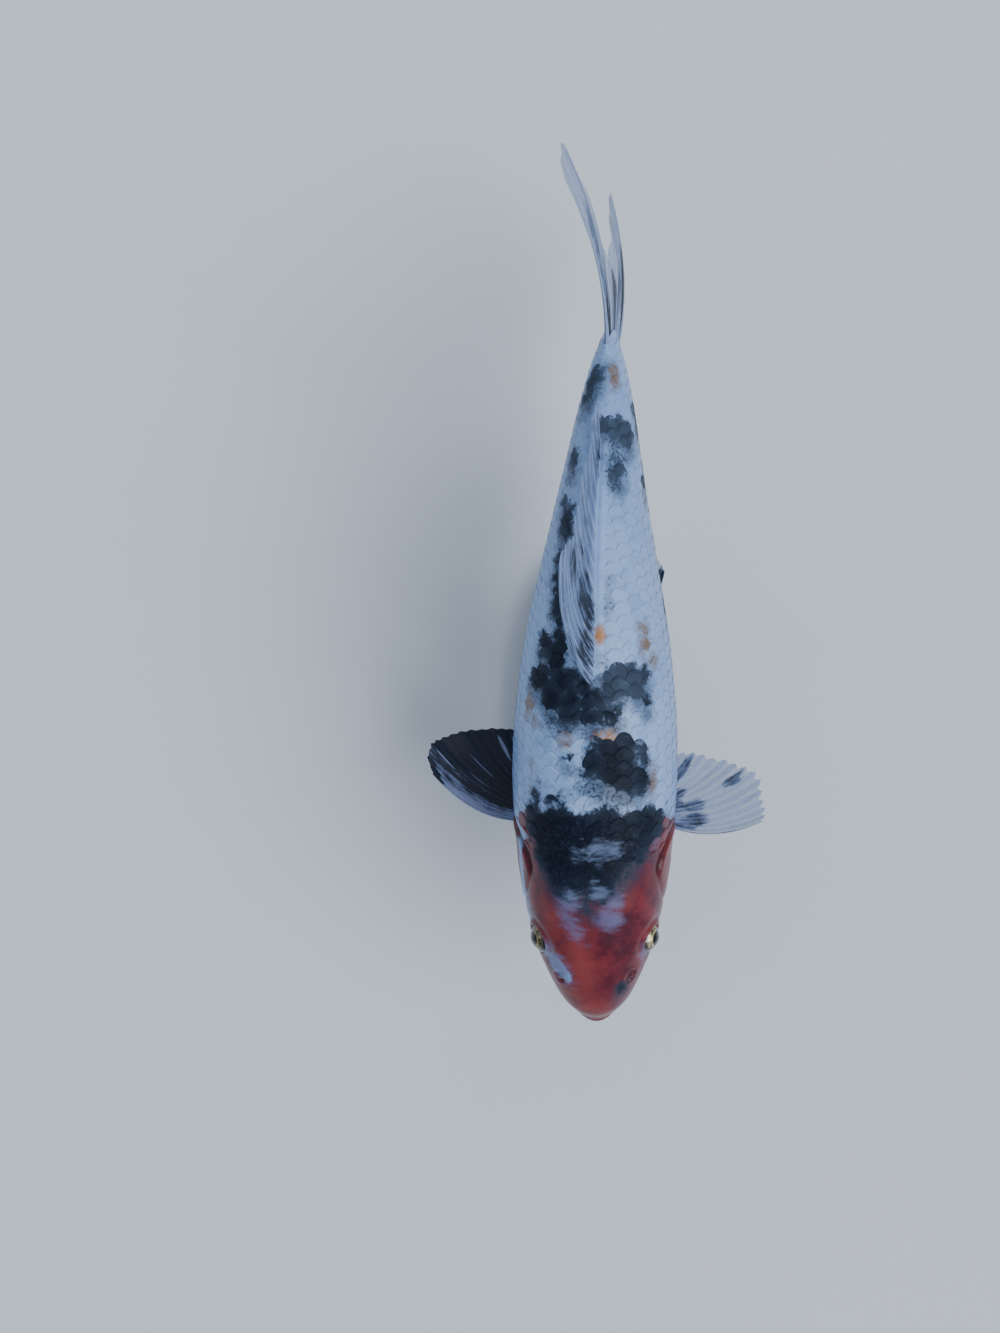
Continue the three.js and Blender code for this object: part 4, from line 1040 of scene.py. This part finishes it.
fin(
    "pectoral_web_left",
    ["pectoral_fin_left"],
    smoky_fin,
    [
        ((78.5, 24, -23), (0.92, -0.48, -0.12), (0.95, 0.5, 0.08), 50),
        ((80, 24, -24), (0.96, -0.3, -0.14), (0.92, 0.62, 0.08), 51),
        ((82, 23.6, -25), (0.98, -0.04, -0.18), (0.78, 0.72, 0.04), 49),
        ((84, 23, -26), (0.9, 0.22, -0.22), (0.66, 0.74, 0), 41),
        ((86, 22.4, -26.8), (0.74, 0.46, -0.26), (0.46, 0.82, -0.04), 31.5),
        ((87.5, 21.6, -27.5), (0.54, 0.7, -0.3), (0.28, 0.9, -0.1), 24),
    ],
    16,
    [
        (0.4, 0.4, 0.11, 0.16, 0.8), (0.23, 0.38, 0.13, 0.2, 0.85), (0.62, 0.36, 0.1, 0.16, 0.8),
        (0.0, 0.6, 0.025, 0.5, 0.75), (0.46, 0.84, 0.05, 0.18, 0.85), (0.24, 0.9, 0.07, 0.16, 0.4),
        (0.8, 0.64, 0.07, 0.4, 0.9), (0.12, 0.28, 0.08, 0.16, 0.8), (0.5, 0.24, 0.24, 0.14, 0.7),
    ],
    notch=0.035,
    fray=0.05,
)  # fmt: skip

# The pelvic fins trail under the belly, the left one held further out.
for side, name, spread in ((1, "left", 0.03), (-1, "right", 0.0)):
    pelvic_rays = []
    for s, across, height, leaves, b0, u0, ends, b1, u1, length in (
        (140, 12, -33, 0.36, 0.82, -0.42, 0.24, 0.98, -0.1, 45),
        (142, 11.5, -34, 0.32, 0.82, -0.44, 0.2, 1, -0.12, 50),
        (144.5, 10.5, -34.5, 0.26, 0.84, -0.46, 0.14, 1, -0.16, 46),
        (147, 9, -35, 0.16, 0.86, -0.48, 0.06, 0.98, -0.22, 38),
        (149, 8, -35, 0.06, 0.9, -0.46, 0, 0.98, -0.24, 28),
    ):
        leaving = (side * (leaves + spread), b0, u0)
        ending = (side * (ends + spread * (ends > 0)), b1, u1)
        pelvic_rays.append(((s, side * across, height), leaving, ending, length))
    fin(
        f"pelvic_web_{name}",
        [f"pelvic_fin_{name}"],
        pale_fin,
        pelvic_rays,
        10,
        [(0.12, 0.9, 0.2, 0.14, 0.9), (0.5, 0.5, 0.12, 0.3, 0.6), (0.3, 0.3, 0.1, 0.2, 0.5)],
    )

fin(
    "anal_web",
    ["anal_fin"],
    pale_fin,
    [
        ((199, 0, -25), (0, 0.5, -0.86), (-0.02, 0.8, -0.6), 32),
        ((201, 0, -25), (0, 0.58, -0.8), (-0.05, 0.86, -0.5), 43),
        ((205, 0, -24), (0, 0.64, -0.76), (-0.08, 0.88, -0.46), 41),
        ((211, 0, -22), (0, 0.7, -0.7), (-0.06, 0.9, -0.42), 31),
        ((217, 0, -20.5), (0, 0.78, -0.62), (-0.04, 0.94, -0.34), 23),
        ((222, 0, -19), (0, 0.84, -0.54), (-0.02, 0.96, -0.28), 17),
    ],
    8,
    [(0.3, 0.4, 0.2, 0.3, 0.7), (0.7, 0.7, 0.2, 0.2, 0.6)],
)

# The tail fin is forked, and its upper lobe trails off to the fish's right.
tail_rays = []
for height, angle, length, leaves, ends in (
    (14.4, 30, 68, 0.03, -0.5), (12.6, 26, 82, 0.03, -0.48), (10, 19, 71, 0.03, -0.42),
    (5.5, 10, 53, 0.03, -0.3), (0, 0, 42, 0.04, -0.2), (-5.5, -9, 55, 0.07, -0.2),
    (-10, -16, 77, 0.1, -0.27), (-14, -22, 96, 0.13, -0.34), (-15.4, -26, 80, 0.14, -0.34),
):  # fmt: skip
    rise, back = math.sin(math.radians(angle)), math.cos(math.radians(angle))
    leaving, ending = (leaves, back, rise), (ends, back * (1 - 0.2 * abs(ends)), rise)
    tail_rays.append(((262, 0, height), leaving, ending, length))
fin(
    "tail_web",
    ["tail_fin_upper", "tail_fin_lower"],
    pale_fin,
    tail_rays,
    21,
    [
        (0.24, 0.22, 0.12, 0.28, 1.6), (0.4, 0.42, 0.06, 0.44, 1.5), (0.6, 0.46, 0.05, 0.4, 1.5),
        (0.85, 0.4, 0.045, 0.3, 1.4), (0.72, 0.5, 0.04, 0.3, 0.9), (0.1, 0.5, 0.04, 0.3, 0.8),
    ],
    ruffle=0.6,
    notch=0.012,
)  # fmt: skip


# --- Eyes: a wet ball in each socket, black in the middle of a thin gold ring. The rest of the iris is dark
# and mottled, and pale gold along its upper side.
LOOK = unit([-0.12, 1.0, 0.52])  # where the left eye looks: back, left and up
eye_shine = Finish("wet_eye")
# Out from the eye's axis: the pupil to 2.8, the gold ring to 3.4, and the dark rim of the iris from 4.4.
off = eye_shine.stored("off_axis")
upper = eye_shine.stored("upper")
flecks = eye_shine.noise(eye_shine.places(), 900.0, 4.0)
radial = eye_shine.node("ShaderNodeCombineXYZ", {}, (eye_shine.stored("around") * 9.0, off * 0.35, 0.0))
threads = eye_shine.noise(radial, 1.0, 3.0)
speckled = eye_shine.step(flecks + threads * 0.5, 0.6, 0.95)
iris = eye_shine.blend((0.035, 0.03, 0.028), (0.3, 0.2, 0.07), speckled)
iris = eye_shine.blend(iris, (0.72, 0.64, 0.36), eye_shine.step(upper + (flecks - 0.5) * 0.9, 0.2, 0.7))
gold = eye_shine.step(off, 2.85, 3.0) * eye_shine.step(off, 3.5, 3.2)
iris = eye_shine.blend(iris, (0.7, 0.55, 0.24), gold * eye_shine.step(upper, -0.2, 0.4))
iris = eye_shine.blend(iris, (0.015, 0.015, 0.02), eye_shine.step(off + (flecks - 0.5) * 1.2, 4.4, 5.0) * 0.9)
eye_colour = eye_shine.blend((0.002, 0.002, 0.003), iris, eye_shine.step(off, 2.75, 2.9))
eye_material = eye_shine.shade(
    Base_Color=eye_colour,
    Metallic=eye_shine.step(off, 2.8, 3.05) * 0.35,
    Roughness=0.12 + flecks * 0.08,
    Coat_Weight=1.0,
    Coat_Roughness=0.03,
)
for side, name in ((1, "left"), (-1, "right")):
    rings, spokes = ((60, 96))
    spin = np.linspace(0, 2 * math.pi, spokes, endpoint=False)
    turn, spin = np.meshgrid(np.linspace(0.03, math.pi - 0.03, rings), spin, indexing="ij")
    axis = LOOK * (1, side, 1)
    ahead = np.cross(axis, (0, 0, 1.0))
    ahead /= np.linalg.norm(ahead)
    rise = np.cross(ahead, axis)
    rise *= np.sign(rise[2])
    # The cornea bulges a little over the pupil, with a faint step where it meets the white.
    beyond = EYE_RADIUS + 0.45 * bulge(turn, 0.36) - 0.1 * bulge(turn - 0.66, 0.06)
    ball = beyond[..., None] * (
        np.cos(turn)[..., None] * axis
        + np.sin(turn)[..., None] * (np.cos(spin)[..., None] * ahead + np.sin(spin)[..., None] * rise)
    )
    centre = posed(EYE_PLACE * (1, side, 1))
    _, eye_left, eye_back, eye_up = frame_at(EYE_PLACE[0])
    placed = centre + ball[..., 1:2] * eye_left + ball[..., :1] * eye_back + ball[..., 2:] * eye_up
    eye = ringed_piece(f"eyeball_{name}", placed, eye_material)
    painted_lit_share = 1.0 if side > 0 else 0.15  # painted shade makes the right iris the darker
    off_axis, upper_side = beyond * np.sin(turn), painted_lit_share * np.sin(turn) * np.sin(spin)
    stored = {"off_axis": off_axis, "upper": upper_side, "around": np.cos(spin)}
    keep_on_points(eye, **{key: with_hubs(values) for key, values in stored.items()})
    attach(eye, "root")
    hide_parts(f"eye_{name}")


# --- Barbels: two short soft feelers on the upper lip and two longer ones at the corners of the mouth. Each
# is a tapered tube of flesh that swells where it leaves the lip and ends in a round tip.
flesh = Finish("barbel_flesh")
grain = flesh.noise(flesh.places(), 1200.0)
paler = flesh.step(flesh.stored("out") + (grain - 0.5) * 0.6, 0.1, 1.0)
flesh_colour = flesh.blend((0.2, 0.035, 0.04), (0.44, 0.22, 0.22), paler)
barbel_material = flesh.shade(
    Base_Color=flesh_colour,
    Roughness=0.3 + grain * 0.1,
    Normal=flesh.bump(grain, 0.3, 0.0003),
    Coat_Weight=0.4,
    Subsurface_Weight=0.2,
    Subsurface_Radius=(0.001, 0.0005, 0.0003),
)

FEELER_SIDES, FEELER_STEPS = 20, 40
MOUTH_S = 6.5  # distance of the corner of the mouth from the snout


def swept_rings(centres, sizes, sides):
    """Rings of a round rod or tube along a run of centres."""
    ahead = np.gradient(centres, axis=0)
    ahead /= np.linalg.norm(ahead, axis=1, keepdims=True)
    stands = abs(ahead[0, 2]) > 0.9
    wide = np.cross((0.06, 0.998, 0) if stands else (0, 0, 1), ahead)
    wide /= np.linalg.norm(wide, axis=1, keepdims=True)
    tall = np.cross(ahead, wide)
    spin = np.linspace(0, 2 * math.pi, sides, endpoint=False).reshape(-1, 1)
    round_off = np.cos(spin) * wide[:, None] + np.sin(spin) * tall[:, None]
    return centres[:, None] + np.reshape(sizes, (-1, 1, 1)) * round_off


for side, name in ((1, "left"), (-1, "right")):
    for kind, ring, angle, drop, droop, radius in (
        ("lip", 3.2, 48, (2.4, 0.2, 0.2), (0.6, 2.0, -2.8), 0.6),
        ("corner", 3.5, -10, (4.4, 0.6, -2.2), (0.2, 5.2, -6.8), 0.95),
    ):
        turn = math.radians(angle if side > 0 else 180 - angle)
        root = posed(straight_body(np.array(ring), np.array(turn), -0.8))
        _, left, back, up = frame_at(MOUTH_S)
        v = np.linspace(0, 1, FEELER_STEPS)[:, None]
        run = np.array(drop) * v + np.array(droop) * v**2
        centres = root + side * run[:, :1] * left + run[:, 1:2] * back + run[:, 2:] * up
        round_tip = np.sqrt(1 - 0.97 * np.clip((v - 0.9) / 0.1, 0, 1) ** 2)
        size = radius * (1.15 - 0.6 * v + 0.35 * bulge(v, 0.1)) * round_tip
        rings = swept_rings(centres, size, FEELER_SIDES)
        feeler = ringed_piece(f"feeler_{kind}_{name}", rings, barbel_material)
        keep_on_points(feeler, out=with_hubs(np.repeat(v, FEELER_SIDES, axis=1)))
        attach(feeler, "root")
        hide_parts(f"barbel_{kind}_{name}")


# --- The stand: a flat oval plate of steel, powder coated black, and two brushed steel rods screwed into it
# that hold the fish by its belly. Each rod rises out of a small round collar.
coat = Finish("powder_coat")
at = coat.places()
pits = coat.noise(at, 1400.0, 3.0, 0.7)
worn = coat.step(coat.noise(at, 60.0), 0.45, 0.75)
plate_material = coat.shade(
    Base_Color=coat.blend((0.022, 0.023, 0.026), (0.045, 0.047, 0.052), pits * 0.6 + worn * 0.4),
    Roughness=0.5 + pits * 0.25 - worn * 0.08,
    Normal=coat.bump(pits, 0.35, 0.0002),
)
EDGE_ROUND = 1.5
plate_low, plate_high = (np.array(corner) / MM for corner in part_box("stand_base"))
plate_middle, plate_half = (plate_low + plate_high) / 2, (plate_high - plate_low) / 2
bend = np.linspace(0, math.pi / 2, 9)
rounded = [(EDGE_ROUND * (1 - math.cos(b)), plate_high[2] - EDGE_ROUND * (1 - math.sin(b))) for b in bend]
near_middle = plate_half[0] * 0.98
profile = [(near_middle, 0.0), (0.5, 0.0), (0.0, 0.5), *rounded, (near_middle, plate_high[2])]
spin = np.linspace(0, 2 * math.pi, 160, endpoint=False)
plate_rings = []
for inset, height in profile:
    reach = plate_half[:2] - inset
    ring = plate_middle[:2] + np.stack([np.cos(spin), np.sin(spin)], axis=1) * reach
    plate_rings.append(np.column_stack([ring, np.full(len(spin), height)]))
plate = ringed_piece("base_plate", np.array(plate_rings), plate_material)
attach(plate, "root")
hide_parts("stand_base")

steel = Finish("brushed_steel")
at = steel.places()
drawn = steel.node("ShaderNodeMapping", {}, {"Vector": at, "Scale": (2600.0, 2600.0, 60.0)})
lines = steel.noise(drawn, 1.0, 3.0)
rod_material = steel.shade(
    Base_Color=steel.blend((0.42, 0.43, 0.45), (0.66, 0.67, 0.69), lines),
    Metallic=1.0,
    Roughness=0.22 + lines * 0.2,
    Normal=steel.bump(lines, 0.15, 0.0001),
)
COLLAR_RADIUS, COLLAR_HEIGHT = 5.2, 5.0
ROD_SIDES = 48
for place in ("front", "rear"):
    low, high = (np.array(corner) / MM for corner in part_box(f"stand_rod_{place}"))
    foot = (low + high) / 2
    radius = (high[0] - low[0]) / 2
    collar_top = low[2] + COLLAR_HEIGHT
    steps = [
        (low[2] - 0.2, COLLAR_RADIUS), (collar_top - 0.8, COLLAR_RADIUS),
        (collar_top - 0.25, COLLAR_RADIUS - 0.25), (collar_top, COLLAR_RADIUS - 0.8),
        (collar_top + 0.01, radius + 0.1), (collar_top + 0.2, radius), (high[2] + 0.8, radius),
    ]  # fmt: skip
    centres = np.array([(foot[0], foot[1], height) for height, _ in steps])
    sizes = [size for _, size in steps]
    rod = ringed_piece(f"rod_{place}", swept_rings(centres, sizes, ROD_SIDES), rod_material)
    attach(rod, "root")
    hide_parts(f"stand_rod_{place}")
